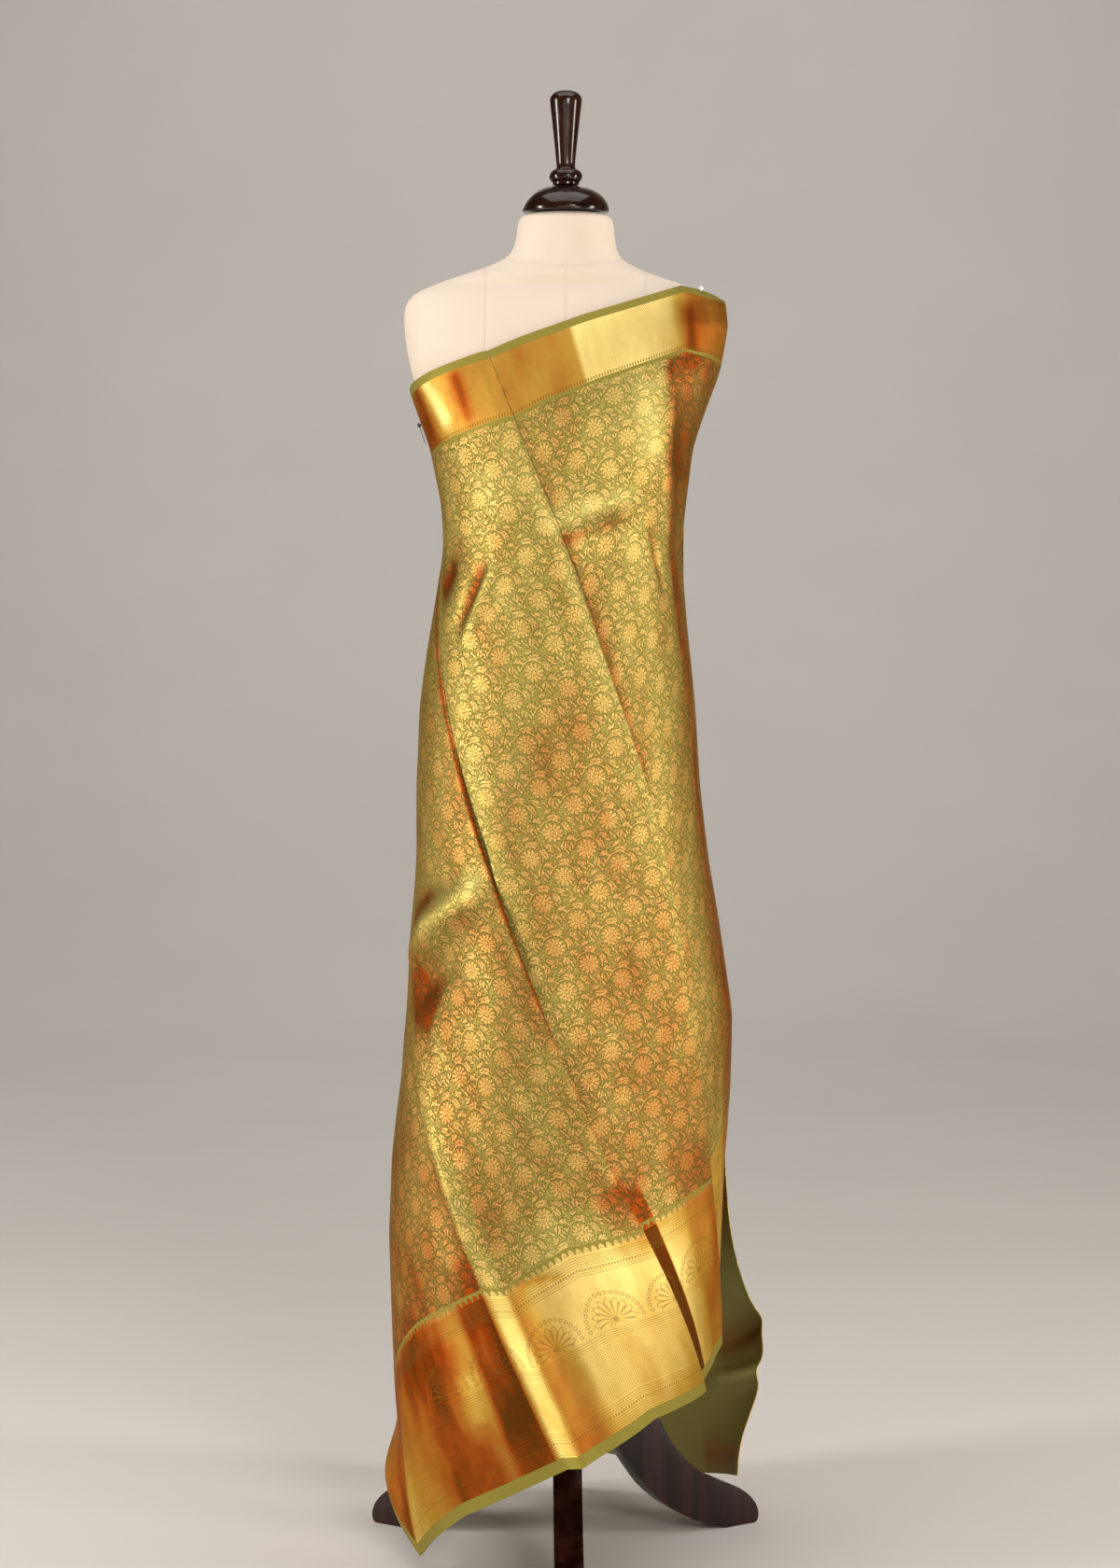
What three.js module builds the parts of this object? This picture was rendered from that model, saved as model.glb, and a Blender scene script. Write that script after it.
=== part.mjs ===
// Silk saree on dress form, in millimetres, +Z up, the viewer at -Y.
// The cloth is one long silk length wrapped round a limbless form. Every point of it comes from
// drape(span, fall): span counts the guide lines across the cloth, fall runs from its top edge to its hem.
import * as THREE from 'three';

// Driving sizes of the stand and the form
const FORM_TOP = 1660;
const NECK_TOP = 1526;
const FORM_BOTTOM = 850;
const POLE_RADIUS = 17.5;
const HUB_RADIUS = 34;
const HUB_BOTTOM = 118;
const HUB_TOP = 250;
const LEG_THICKNESS = 32;
const LEG_ANGLES = { leg_front: -89, leg_right: 30, leg_left: 150 };
const SEAT_GAP = 0.3;

// Driving sizes of the cloth
const LOOM_WIDTH = 1190;
const TOP_BORDER = 78;
const HEM_BORDER = 205;
const WALL = 1.2;
const SEAM_GAP = 0.3;

// A table is a list of column names and its rows
function table(columns, rows) {
  return rows.map((row) => Object.fromEntries(columns.map((name, i) => [name, row[i]])));
}

// The outline that the cloth keeps, as sections at heights: half widths to each side, front and back depth
const OUTLINE = table(['height', 'left', 'right', 'front', 'back', 'power'], [
  [1446, 155, 140, 60, 74, 2.3],
  [1439, 173, 158, 68, 83, 2.4],
  [1427, 188, 178, 78, 91, 2.4],
  [1400, 185, 181, 92, 98, 2.4],
  [1350, 179, 172, 112, 104, 2.3],
  [1300, 161, 153, 128, 104, 2.2],
  [1265, 148, 141, 134, 100, 2.2],
  [1203, 136, 134, 128, 98, 2.2],
  [1150, 134, 129, 122, 96, 2.2],
  [1057, 149, 137, 134, 110, 2.2],
  [972, 160, 145, 148, 124, 2.2],
  [888, 164, 151, 160, 134, 2.2],
  [803, 165, 161, 170, 144, 2.2],
  [718, 171, 175, 178, 154, 2.2],
  [633, 175, 188, 186, 164, 2.2],
  [547, 184, 187, 194, 176, 2.2],
  [461, 195, 180, 202, 188, 2.2],
  [375, 199, 177, 210, 200, 2.2],
  [290, 197, 174, 216, 212, 2.2],
  [200, 194, 170, 220, 226, 2.2],
  [100, 186, 170, 222, 238, 2.2],
  [20, 170, 172, 220, 246, 2.2],
]);

// Guide lines of the cloth, from its free edge at the right back, round the back, the left side and the
// front to its inner end. Each place is measured round the outline from the front middle, + to the right,
// at five stations down the cloth. cells counts the facets since the line before.
const GUIDES = table(['name', 'cells', 'top', 'quarter', 'middle', 'low', 'hem', 'topHeight', 'hemHeight'], [
  ['free_edge', 0, -572, -658, -775, -880, -905, 1235, 62],
  ['right_back', 5, -552, -608, -684, -755, -780, 1225, 33],
  ['back_middle', 4, -535, -565, -590, -615, -640, 1215, 56],
  ['left_back', 4, -500, -500, -500, -490, -480, 1205, 86],
  ['left_side', 4, -465, -445, -425, -390, -345, 1200, 64],
  ['left_corner', 3, -440, -408, -372, -305, -225, 1200, 24],
  ['left_panel', 3, -418, -375, -325, -225, -116, 1210, 102],
  ['ridge', 3, -395, -345, -262, -123, 2, 1235, 166],
  ['ridge_foot', 1, -385, -332, -248, -108, 18, 1239, 163],
  ['middle_panel', 3, -325, -255, -165, -38, 100, 1282, 211],
  ['left_fold', 3, -262, -172, -71, 44, 183, 1318, 225],
  ['left_fold_back', 1, -260, -170, -70, 43, 180, 1318, 224],
  ['left_tuck', 2, -255, -166, -74, 18, 124, 1319, 215],
  ['left_tuck_out', 1, -254.4, -165.2, -74, 18, 124, 1319, 215],
  ['inner_crease', 3, -247, -157, -61, 59, 199, 1322, 236],
  ['right_panel', 3, -175, -72, 28, 112, 224, 1342, 250],
  ['right_fold', 3, -93, 20, 113, 166, 245, 1368, 264],
  ['right_fold_back', 1, -91, 22, 113, 165, 243, 1368, 263],
  ['right_tuck', 2, -86, 25, 106, 145, 205, 1369, 254],
  ['right_tuck_out', 1, -85.5, 25.6, 106, 145, 205, 1369, 254],
  ['side_front', 3, -50, 50, 140, 190, 268, 1384, 300],
  ['side_bust', 3, 20, 90, 165, 222, 292, 1409, 322],
  ['side_arm', 4, 131, 146, 205, 272, 330, 1443, 343],
  ['shoulder', 5, 222, 215, 268, 335, 385, 1428, 350],
  ['shoulder_back', 6, 330, 305, 372, 440, 485, 1412, 350],
  ['inner_back', 4, 455, 410, 500, 580, 640, 1385, 350],
  ['inner_end', 8, 618, 545, 672, 795, 858, 1340, 345],
]);

// How far each guide line stands out from the outline at the same stations
const LIFTS = table(['name', 'top', 'quarter', 'middle', 'low', 'hem'], [
  ['free_edge', 5, 5, 6, 22, 34],
  ['right_back', 5, 5, 6, 8, 10],
  ['back_middle', 5, 5, 5, 5, 6],
  ['left_back', 5, 5, 5, 5, 6],
  ['left_side', 5, 5, 5, 3, 1],
  ['left_corner', 5, 5, 4, 1, 0],
  ['left_panel', 5, 5, 4, 0, 0],
  ['ridge', 5, 5, 4, 4, 7],
  ['ridge_foot', 5, 5, 3, 0, -1],
  ['middle_panel', 5, 4.6, 1.5, 1, 3],
  ['left_fold', 4, 2.6, 6, 7.6, 11],
  ['left_fold_back', 4, 1.8, 3.2, 4.4, 7.6],
  ['left_tuck', 3.8, 1, 0.8, 2, 2.6],
  ['left_tuck_out', 3.8, 0.9, -1.1, -0.2, 0.8],
  ['inner_crease', 3.6, 1.4, 0.8, 0.8, 3],
  ['right_panel', 1, 0, 0, 2, 5],
  ['right_fold', 0, 2.2, 6.4, 7.6, 9.4],
  ['right_fold_back', 0, 1.2, 3.4, 4.4, 6],
  ['right_tuck', 0, 0.2, 1, 1.8, 1.2],
  ['right_tuck_out', 0, -0.4, -1.2, -1, -1],
  ['side_front', 0, 0, 0, 0, 0],
  ['side_bust', 0, 0, 0, 0, 0],
  ['side_arm', 0, 0, 0, 0, 0],
  ['shoulder', 0, 0, 0, 0, 0],
  ['shoulder_back', 0, 0, 0, 0, 0],
  ['inner_back', 0, -1, 0, 0, 0],
  ['inner_end', 0, -2, 0, 0, 0],
]);

// Soft folds: ridges (+) and hollows (-) that run from one place to another on the outline
const FOLDS = table(['name', 'fromRound', 'fromHeight', 'toRound', 'toHeight', 'breadth', 'rise'], [
  ['hip_buckle', -85, 790, -235, 705, 24, 8],
  ['hip_hollow', -100, 690, -215, 655, 24, -7],
  ['waist_fold', -90, 1160, -190, 1100, 20, 5],
  ['waist_crease', -95, 1146, -140, 1070, 10, -4],
  ['bust_ridge', -20, 1196, 78, 1232, 14, 4],
  ['bust_hollow', -10, 1166, 82, 1196, 14, -3],
  ['arm_hollow', 150, 1310, 172, 1120, 16, -5],
  ['arm_ridge', 120, 1340, 138, 1180, 16, 3],
  ['ridge_valley', -150, 600, 45, 175, 22, -5],
]);

// Gathers at the back, where the pinned top edge holds far less room than the hem
const GATHERS = 7;
const GATHER_RISE = 6;

// Places where the lower cloth billows out: guide line, guides either side, how far down, reach, rise
const BILLOWS = table(['guide', 'breadth', 'fall', 'reach', 'rise'], [
  ['free_edge', 1.6, 0.88, 0.085, 46],
  ['left_side', 1.3, 0.985, 0.045, 24],
]);

const lerp = (a, b, t) => a + (b - a) * t;
const clamp01 = (t) => Math.min(1, Math.max(0, t));

// Values at five even stations, joined by a smooth curve
function alongStations(row, fall) {
  const values = [row.top, row.quarter, row.middle, row.low, row.hem];
  const place = clamp01(fall) * 4;
  const i = Math.min(3, Math.floor(place));
  const t = place - i;
  const b = values[i];
  const c = values[i + 1];
  const a = values[i - 1] ?? 2 * b - c;
  const d = values[i + 2] ?? 2 * c - b;
  return b + 0.5 * t * (c - a + t * (2 * a - 5 * b + 4 * c - d + t * (3 * (b - c) + d - a)));
}

// One outline section at a height
function sectionAt(rows, height) {
  const low = rows.findIndex((row) => row.height <= height);
  if (low === 0) return rows[0];
  if (low < 0) return rows[rows.length - 1];
  const above = rows[low - 1];
  const below = rows[low];
  const t = (above.height - height) / (above.height - below.height);
  const names = ['left', 'right', 'front', 'back', 'power'];
  return Object.fromEntries(names.map((name) => [name, lerp(above[name], below[name], t)]));
}

// Point of a section at an angle from the front middle, and the way out from it
function sectionPoint(section, angle) {
  const s = Math.sin(angle);
  const c = Math.cos(angle);
  const width = s >= 0 ? section.right : section.left;
  const depth = c >= 0 ? section.front : section.back;
  const bend = 2 / section.power;
  const x = Math.sign(s) * width * Math.abs(s) ** bend;
  const y = -Math.sign(c) * depth * Math.abs(c) ** bend;
  const outX = Math.sign(s) * Math.abs(s) ** (2 - bend) / width;
  const outY = -Math.sign(c) * Math.abs(c) ** (2 - bend) / depth;
  const size = Math.hypot(outX, outY);
  return { x, y, outX: outX / size, outY: outY / size };
}

// Angle round a section at a distance round it from the front middle
const RULER_STEPS = 240;
const rulers = new Map();
function rulerAt(height) {
  const key = Math.round(height);
  if (!rulers.has(key)) {
    const section = sectionAt(OUTLINE, key);
    const marks = [0];
    let last = sectionPoint(section, -Math.PI);
    for (let i = 1; i <= RULER_STEPS; i += 1) {
      const next = sectionPoint(section, -Math.PI + (2 * Math.PI * i) / RULER_STEPS);
      marks.push(marks[i - 1] + Math.hypot(next.x - last.x, next.y - last.y));
      last = next;
    }
    rulers.set(key, marks);
  }
  return rulers.get(key);
}
function angleRound(height, round) {
  const marks = rulerAt(height);
  const whole = marks[RULER_STEPS];
  const start = marks[RULER_STEPS / 2];
  const along = (((round + start) % whole) + whole) % whole;
  let i = 0;
  while (marks[i + 1] < along) i += 1;
  return -Math.PI + (2 * Math.PI * (i + (along - marks[i]) / (marks[i + 1] - marks[i]))) / RULER_STEPS;
}

// Height that the soft folds add at a place on the outline
function foldRise(round, height) {
  let rise = 0;
  for (const fold of FOLDS) {
    const dx = fold.toRound - fold.fromRound;
    const dy = fold.toHeight - fold.fromHeight;
    const t = ((round - fold.fromRound) * dx + (height - fold.fromHeight) * dy) / (dx * dx + dy * dy);
    const near = clamp01(t);
    const away = Math.hypot(round - fold.fromRound - near * dx, height - fold.fromHeight - near * dy);
    rise += fold.rise * Math.exp(-((away / fold.breadth) ** 2)) * Math.sin(Math.PI * (0.12 + 0.76 * near));
  }
  return rise;
}

const NUMBER = Object.fromEntries(GUIDES.map((guide, i) => [guide.name, i]));

// The cloth: span is a guide's number plus the share of the way to the next, fall is 0 at the top edge
function drape(span, fall) {
  const i = Math.min(GUIDES.length - 2, Math.floor(span));
  const t = span - i;
  const ease = t * t * (3 - 2 * t);
  const round = lerp(alongStations(GUIDES[i], fall), alongStations(GUIDES[i + 1], fall), t);
  const before = lerp(GUIDES[i].topHeight, GUIDES[i].hemHeight, fall);
  const after = lerp(GUIDES[i + 1].topHeight, GUIDES[i + 1].hemHeight, fall);
  const height = lerp(before, after, t);
  let lift = lerp(alongStations(LIFTS[i], fall), alongStations(LIFTS[i + 1], fall), ease);
  if (span < NUMBER.left_fold) lift += foldRise(round, height) * clamp01((NUMBER.left_fold - span) * 4);
  if (span > NUMBER.left_tuck_out && span < NUMBER.right_fold) {
    const inside = Math.min(span - NUMBER.left_tuck_out, NUMBER.right_fold - span);
    lift += foldRise(round, height) * clamp01(inside * 2);
  }
  if (span > NUMBER.right_tuck_out) lift += foldRise(round, height) * clamp01(span - NUMBER.right_tuck_out);
  const gathered = clamp01(span / NUMBER.ridge);
  if (gathered < 1) {
    const wave = Math.sin(Math.PI * GATHERS * gathered) ** 2;
    lift += GATHER_RISE * wave * Math.sin(Math.PI * gathered) * (1 - fall) ** 1.5;
  }
  for (const billow of BILLOWS) {
    const share = clamp01(1 - Math.abs(span - NUMBER[billow.guide]) / billow.breadth);
    const swell = share * share * (3 - 2 * share);
    lift += billow.rise * swell * Math.exp(-(((fall - billow.fall) / billow.reach) ** 2));
  }
  const angle = angleRound(height, round);
  const point = sectionPoint(sectionAt(OUTLINE, height), angle);
  return new THREE.Vector3(point.x + point.outX * lift, point.y + point.outY * lift, height);
}

// Moves a place by a distance across the cloth, to leave a seam's gap
function acrossBy(span, fall, distance) {
  const step = Math.sign(distance) * 0.02;
  const scale = drape(span, fall).distanceTo(drape(span + step, fall)) / Math.abs(step);
  return span + distance / scale;
}

// The two faces of the wall at a place, half a wall out and in from the cloth's middle. At a corner the way
// out lies midway between the facets on both sides, which are given by the spans before and after it
function wallPoints(before, span, after, fall) {
  const middle = drape(span, fall);
  const across = new THREE.Vector3();
  if (before !== null) across.add(middle.clone().sub(drape(before, fall)).normalize());
  if (after !== null) across.add(drape(after, fall).sub(middle).normalize());
  const above = Math.max(0, fall - 0.002);
  const below = Math.min(1, fall + 0.002);
  const down = drape(span, below).sub(drape(span, above));
  const out = down.cross(across).normalize();
  return {
    outer: middle.clone().addScaledVector(out, WALL / 2),
    inner: middle.clone().addScaledVector(out, -WALL / 2),
  };
}

// A closed solid from two grids of points, columns across and rows down, joined round their edges
function shellGeometry(columns, rows, pointsAt) {
  const positions = [];
  const index = [];
  const size = columns * rows;
  for (const side of ['outer', 'inner']) {
    for (let c = 0; c < columns; c += 1) {
      for (let r = 0; r < rows; r += 1) positions.push(...pointsAt(c, r)[side].toArray());
    }
  }
  const quad = (a, b, c, d) => index.push(a, b, c, a, c, d);
  const at = (c, r) => c * rows + r;
  for (let c = 0; c + 1 < columns; c += 1) {
    for (let r = 0; r + 1 < rows; r += 1) {
      quad(at(c, r), at(c, r + 1), at(c + 1, r + 1), at(c + 1, r));
      quad(size + at(c, r), size + at(c + 1, r), size + at(c + 1, r + 1), size + at(c, r + 1));
    }
  }
  const edge = [];
  for (let c = 0; c + 1 < columns; c += 1) edge.push(at(c, 0));
  for (let r = 0; r + 1 < rows; r += 1) edge.push(at(columns - 1, r));
  for (let c = columns - 1; c > 0; c -= 1) edge.push(at(c, rows - 1));
  for (let r = rows - 1; r > 0; r -= 1) edge.push(at(0, r));
  edge.forEach((here, i) => {
    const next = edge[(i + 1) % edge.length];
    quad(here, next, size + next, size + here);
  });
  const geometry = new THREE.BufferGeometry();
  geometry.setAttribute('position', new THREE.Float32BufferAttribute(positions, 3));
  geometry.setIndex(index);
  geometry.computeVertexNormals();
  return geometry;
}

// The stretches of cloth that show, by their first and last guide line
const STRETCHES = table(['name', 'from', 'to'], [
  ['back', 'free_edge', 'left_side'],
  ['front_left', 'left_side', 'left_tuck'],
  ['front_middle', 'left_tuck_out', 'right_tuck'],
  ['right_side', 'right_tuck_out', 'inner_end'],
]);

// The three woven bands down the cloth, and the facets down each
const BANDS = table(['name', 'from', 'to', 'cells', 'colour', 'metalness'], [
  ['top_border', 0, TOP_BORDER, 4, 0xc79a3c, 0.6],
  ['body', TOP_BORDER, LOOM_WIDTH - HEM_BORDER, 20, 0x9a8f3c, 0.4],
  ['hem_border', LOOM_WIDTH - HEM_BORDER, LOOM_WIDTH, 6, 0xc08a30, 0.6],
]);

// Each facet edge between two guide lines, as a span
function spansBetween(first, last) {
  const spans = [first];
  for (let i = first + 1; i <= last; i += 1) {
    for (let k = 1; k <= GUIDES[i].cells; k += 1) spans.push(i - 1 + k / GUIDES[i].cells);
  }
  return spans;
}

function bandGeometry(stretch, band) {
  const first = NUMBER[stretch.from];
  const last = NUMBER[stretch.to];
  const spans = spansBetween(first, last);
  const sharesFirst = STRETCHES.some((other) => other.to === stretch.from);
  const sharesLast = STRETCHES.some((other) => other.from === stretch.to);
  const halfGap = SEAM_GAP / 2;
  const end = spans.length - 1;
  const from = band.from === 0 ? 0 : band.from + halfGap;
  const to = band.to === LOOM_WIDTH ? LOOM_WIDTH : band.to - halfGap;
  const spanAt = (c, fall) => {
    if (c < 0) return sharesFirst ? first - 0.25 : null;
    if (c > end) return sharesLast ? last + 0.25 : null;
    if (c === 0 && sharesFirst) return acrossBy(first, fall, halfGap);
    if (c === end && sharesLast) return acrossBy(last, fall, -halfGap);
    return spans[c];
  };
  return shellGeometry(spans.length, band.cells + 1, (c, r) => {
    const fall = lerp(from, to, r / band.cells) / LOOM_WIDTH;
    return wallPoints(spanAt(c - 1, fall), spanAt(c, fall), spanAt(c + 1, fall), fall);
  });
}

function clothMeshes() {
  const meshes = [];
  for (const stretch of STRETCHES) {
    for (const band of BANDS) {
      const mesh = new THREE.Mesh(bandGeometry(stretch, band), new THREE.MeshStandardMaterial({
        color: band.colour, roughness: 0.42, metalness: band.metalness,
      }));
      mesh.name = `saree_${stretch.name}_${band.name}`;
      meshes.push(mesh);
    }
  }
  return meshes;
}

// The padded torso: rings inside the cloth's outline, then the bare shoulders and neck
const FORM_INSET = table(['height', 'inset'], [
  [FORM_BOTTOM, 18], [900, 12], [972, 9], [1057, 11], [1130, 12], [1203, 10], [1265, 6.5], [1300, 5.5],
  [1350, 4.8], [1400, 3.6], [1427, 7.8], [1439, 8.4], [1446, 8.4],
]);
const SHOULDER_RINGS = table(['height', 'left', 'right', 'front', 'back', 'power'], [
  [1453, 129, 111, 56, 66, 2.2],
  [1463, 95, 82, 54, 62, 2.1],
  [1475, 65, 60, 52, 58, 2],
  [1489, 56, 56, 51, 55, 2],
  [1508, 54, 54, 51, 53, 2],
  [NECK_TOP, 52, 52, 50, 51, 2],
]);
const RING_SIDES = 44;

function formMesh() {
  const inside = FORM_INSET.map(({ height, inset }) => {
    const section = sectionAt(OUTLINE, height);
    return {
      height,
      left: section.left - inset,
      right: section.right - inset,
      front: section.front - inset,
      back: section.back - inset,
      power: section.power,
    };
  });
  const rings = [...inside, ...SHOULDER_RINGS];
  const positions = [];
  const index = [];
  rings.forEach((ring) => {
    for (let i = 0; i < RING_SIDES; i += 1) {
      const point = sectionPoint(ring, (2 * Math.PI * i) / RING_SIDES);
      positions.push(point.x, point.y, ring.height);
    }
  });
  const at = (ring, i) => ring * RING_SIDES + (i % RING_SIDES);
  for (let ring = 0; ring + 1 < rings.length; ring += 1) {
    for (let i = 0; i < RING_SIDES; i += 1) {
      index.push(at(ring, i), at(ring, i + 1), at(ring + 1, i + 1));
      index.push(at(ring, i), at(ring + 1, i + 1), at(ring + 1, i));
    }
  }
  const bottom = positions.length / 3;
  positions.push(0, 0, FORM_BOTTOM, 0, 0, NECK_TOP);
  for (let i = 0; i < RING_SIDES; i += 1) {
    index.push(bottom, at(0, i + 1), at(0, i));
    index.push(bottom + 1, at(rings.length - 1, i), at(rings.length - 1, i + 1));
  }
  const geometry = new THREE.BufferGeometry();
  geometry.setAttribute('position', new THREE.Float32BufferAttribute(positions, 3));
  geometry.setIndex(index);
  geometry.computeVertexNormals();
  const mesh = new THREE.Mesh(geometry, new THREE.MeshStandardMaterial({
    color: 0xeee2d4, roughness: 0.9, metalness: 0,
  }));
  mesh.name = 'form_torso';
  return mesh;
}

const WOOD = { color: 0x2a120d, roughness: 0.22, metalness: 0 };

function woodMesh(name, geometry) {
  const mesh = new THREE.Mesh(geometry, new THREE.MeshStandardMaterial(WOOD));
  mesh.name = name;
  return mesh;
}

// A turned piece from its profile of radius and height, turned about the form's upright axis
function turnedMesh(name, profile, sides) {
  const points = profile.map(([radius, height]) => new THREE.Vector2(radius, height));
  return woodMesh(name, new THREE.LatheGeometry(points, sides).rotateX(Math.PI / 2));
}

function neckCapMesh() {
  const base = NECK_TOP + SEAT_GAP;
  return turnedMesh('neck_cap', [
    [0, base], [46.5, base], [48.5, base + 3], [47.5, base + 9], [42, base + 17], [32, base + 23.5],
    [20, base + 27.5], [12, base + 29], [0, base + 29],
  ], 32);
}

function finialMesh() {
  const base = NECK_TOP + SEAT_GAP + 29 + SEAT_GAP;
  return turnedMesh('neck_finial', [
    [0, base], [11, base], [16.5, base + 4], [18, base + 9], [16.5, base + 14], [12, base + 18],
    [10.2, base + 22], [11.5, base + 45], [14.5, base + 72], [16.4, base + 90], [16.2, base + 96],
    [13, base + 101], [7, FORM_TOP - 1], [0, FORM_TOP],
  ], 24);
}

function poleMesh() {
  const foot = HUB_TOP + SEAT_GAP;
  const top = FORM_BOTTOM - SEAT_GAP;
  return turnedMesh('stand_pole', [
    [0, foot], [26, foot], [26, foot + 8], [20, foot + 16], [POLE_RADIUS, foot + 28],
    [POLE_RADIUS, top - 14], [30, top - 8], [30, top], [0, top],
  ], 24);
}

function hubMesh() {
  return turnedMesh('stand_hub', [
    [0, HUB_BOTTOM - 18], [10, HUB_BOTTOM - 18], [20, HUB_BOTTOM - 10], [HUB_RADIUS, HUB_BOTTOM],
    [HUB_RADIUS, HUB_TOP - 12], [HUB_RADIUS - 6, HUB_TOP], [0, HUB_TOP],
  ], 24);
}

// A curved plank leg, its side outline drawn outwards from the hub and pushed through its thickness
function legMesh(name, degrees) {
  const seat = HUB_RADIUS + SEAT_GAP;
  const outline = new THREE.Shape();
  outline.moveTo(seat, 150);
  outline.bezierCurveTo(62, 128, 82, 88, 104, 62);
  outline.bezierCurveTo(126, 38, 160, 14, 200, 3);
  outline.bezierCurveTo(205, 1, 208, 0, 214, 0);
  outline.lineTo(250, 0);
  outline.bezierCurveTo(257, 2, 257, 14, 251, 24);
  outline.bezierCurveTo(238, 44, 216, 52, 192, 62);
  outline.bezierCurveTo(160, 78, 138, 104, 124, 132);
  outline.bezierCurveTo(106, 168, 84, 206, seat, 226);
  outline.closePath();
  const geometry = new THREE.ExtrudeGeometry(outline, {
    depth: LEG_THICKNESS, bevelEnabled: false, curveSegments: 7,
  });
  geometry.translate(0, 0, -LEG_THICKNESS / 2).rotateX(Math.PI / 2);
  const mesh = woodMesh(name, geometry);
  mesh.rotation.z = THREE.MathUtils.degToRad(degrees);
  return mesh;
}

const model = new THREE.Group();
model.add(formMesh(), neckCapMesh(), finialMesh(), poleMesh(), hubMesh());
for (const [name, degrees] of Object.entries(LEG_ANGLES)) model.add(legMesh(name, degrees));
model.add(...clothMeshes());

// The origin is the middle of the whole part's footprint
const box = new THREE.Box3().setFromObject(model);
const middle = box.getCenter(new THREE.Vector3());
model.position.set(-middle.x, -middle.y, -box.min.z);
const part = new THREE.Group();
part.add(model);

export default part;
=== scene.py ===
# %% [markdown]
# Silk saree on a dress form. A saree is one long woven length with no cut or seam, here wrapped round a
# padded form, pinned at one shoulder, and left hanging in wide diagonal panels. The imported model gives
# every place in metres, and this lesson dresses it: cloth and weave, turned wood, cotton, light and
# camera.

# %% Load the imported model
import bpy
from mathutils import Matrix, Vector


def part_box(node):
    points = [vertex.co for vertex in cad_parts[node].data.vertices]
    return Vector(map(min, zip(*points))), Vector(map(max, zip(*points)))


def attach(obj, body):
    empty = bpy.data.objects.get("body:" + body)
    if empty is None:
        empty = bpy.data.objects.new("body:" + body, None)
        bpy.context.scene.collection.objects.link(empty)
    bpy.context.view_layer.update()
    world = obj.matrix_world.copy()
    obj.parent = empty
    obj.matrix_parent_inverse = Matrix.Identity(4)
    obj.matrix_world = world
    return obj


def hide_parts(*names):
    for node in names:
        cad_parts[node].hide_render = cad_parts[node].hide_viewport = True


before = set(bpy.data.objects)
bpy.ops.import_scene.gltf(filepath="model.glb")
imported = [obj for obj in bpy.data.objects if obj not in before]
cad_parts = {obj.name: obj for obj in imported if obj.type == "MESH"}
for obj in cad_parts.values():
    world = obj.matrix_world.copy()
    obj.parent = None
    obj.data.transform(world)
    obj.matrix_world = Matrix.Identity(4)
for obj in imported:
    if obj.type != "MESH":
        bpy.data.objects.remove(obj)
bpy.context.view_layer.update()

import math

import bpy
import numpy as np

MM = 0.001
MERGE_REACH = 0.02 * MM
pole_low, pole_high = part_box("stand_pole")
POLE_X = (pole_low.x + pole_high.x) / 2
POLE_Y = (pole_low.y + pole_high.y) / 2
print("pole stands at", round(POLE_X, 4), round(POLE_Y, 4))

# %% [markdown]
# The photograph was taken from chest height, a few steps back, with a longish lens. A camera in the same
# place gives the same outline, so it comes first. The studio is a pale floor that curves up into a wall,
# made from one plane: its back edge is extruded upwards, and the corner is rounded with a bevel.

# %% Camera
CAMERA_BACK = 3.7
CAMERA_ASIDE = 0.0063
CAMERA_HEIGHT = 1.2
CAMERA_PITCH = math.radians(4.82)
CAMERA_LENS = 75.5

camera_data = bpy.data.cameras.new("camera")
camera = bpy.data.objects.new("camera", camera_data)
bpy.context.scene.collection.objects.link(camera)
camera.location = (POLE_X - CAMERA_ASIDE, POLE_Y - CAMERA_BACK, CAMERA_HEIGHT)
camera.rotation_euler = (math.pi / 2 - CAMERA_PITCH, 0, 0)
camera_data.lens = CAMERA_LENS
camera_data.sensor_width = 36
bpy.context.scene.camera = camera
bpy.context.scene.view_settings.view_transform = "Standard"
print("camera stands", CAMERA_BACK, "m in front of the pole")


# %% Working in edit mode
def mode(name):
    bpy.ops.object.mode_set(mode=name)


def select_all():
    bpy.ops.mesh.select_all(action="SELECT")


def smooth(angle):
    bpy.ops.object.shade_smooth_by_angle(angle=math.radians(angle))


def start_clean():
    """Leaves edit mode and deselects everything, so that an operator acts on the new piece alone."""
    if bpy.context.object and bpy.context.object.mode != "OBJECT":
        mode("OBJECT")
    bpy.ops.object.select_all(action="DESELECT")


def select_edges(mesh, picked):
    """In edit mode, selects the edges for which picked(edge) is true."""
    bpy.ops.mesh.select_all(action="DESELECT")
    mode("OBJECT")
    bpy.context.tool_settings.mesh_select_mode = (False, True, False)
    for edge in mesh.edges:
        edge.select = picked(edge)
    mode("EDIT")


# %% Studio floor and wall
FLOOR_SIZE = 24.0
WALL_DISTANCE = 7.6
WALL_HEIGHT = 9.0
WALL_CURVE = 4.2
WALL_STEPS = 40

start_clean()
bpy.ops.mesh.primitive_plane_add(size=FLOOR_SIZE, location=(0, WALL_DISTANCE - FLOOR_SIZE / 2, 0))
sweep = bpy.context.object
sweep.name = "studio_sweep"
mode("EDIT")
back_edge = [v.index for v in sweep.data.vertices if v.co.y > 0]
select_edges(sweep.data, lambda e: all(i in back_edge for i in e.vertices))
bpy.ops.mesh.extrude_region_move(TRANSFORM_OT_translate={"value": (0, 0, WALL_HEIGHT)})
select_edges(sweep.data, lambda e: all(i in back_edge for i in e.vertices))
bpy.ops.mesh.bevel(offset=WALL_CURVE, segments=WALL_STEPS)
mode("OBJECT")
bpy.ops.object.shade_smooth()
bpy.ops.object.transform_apply()
print("studio sweep has", len(sweep.data.polygons), "faces")


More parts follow.
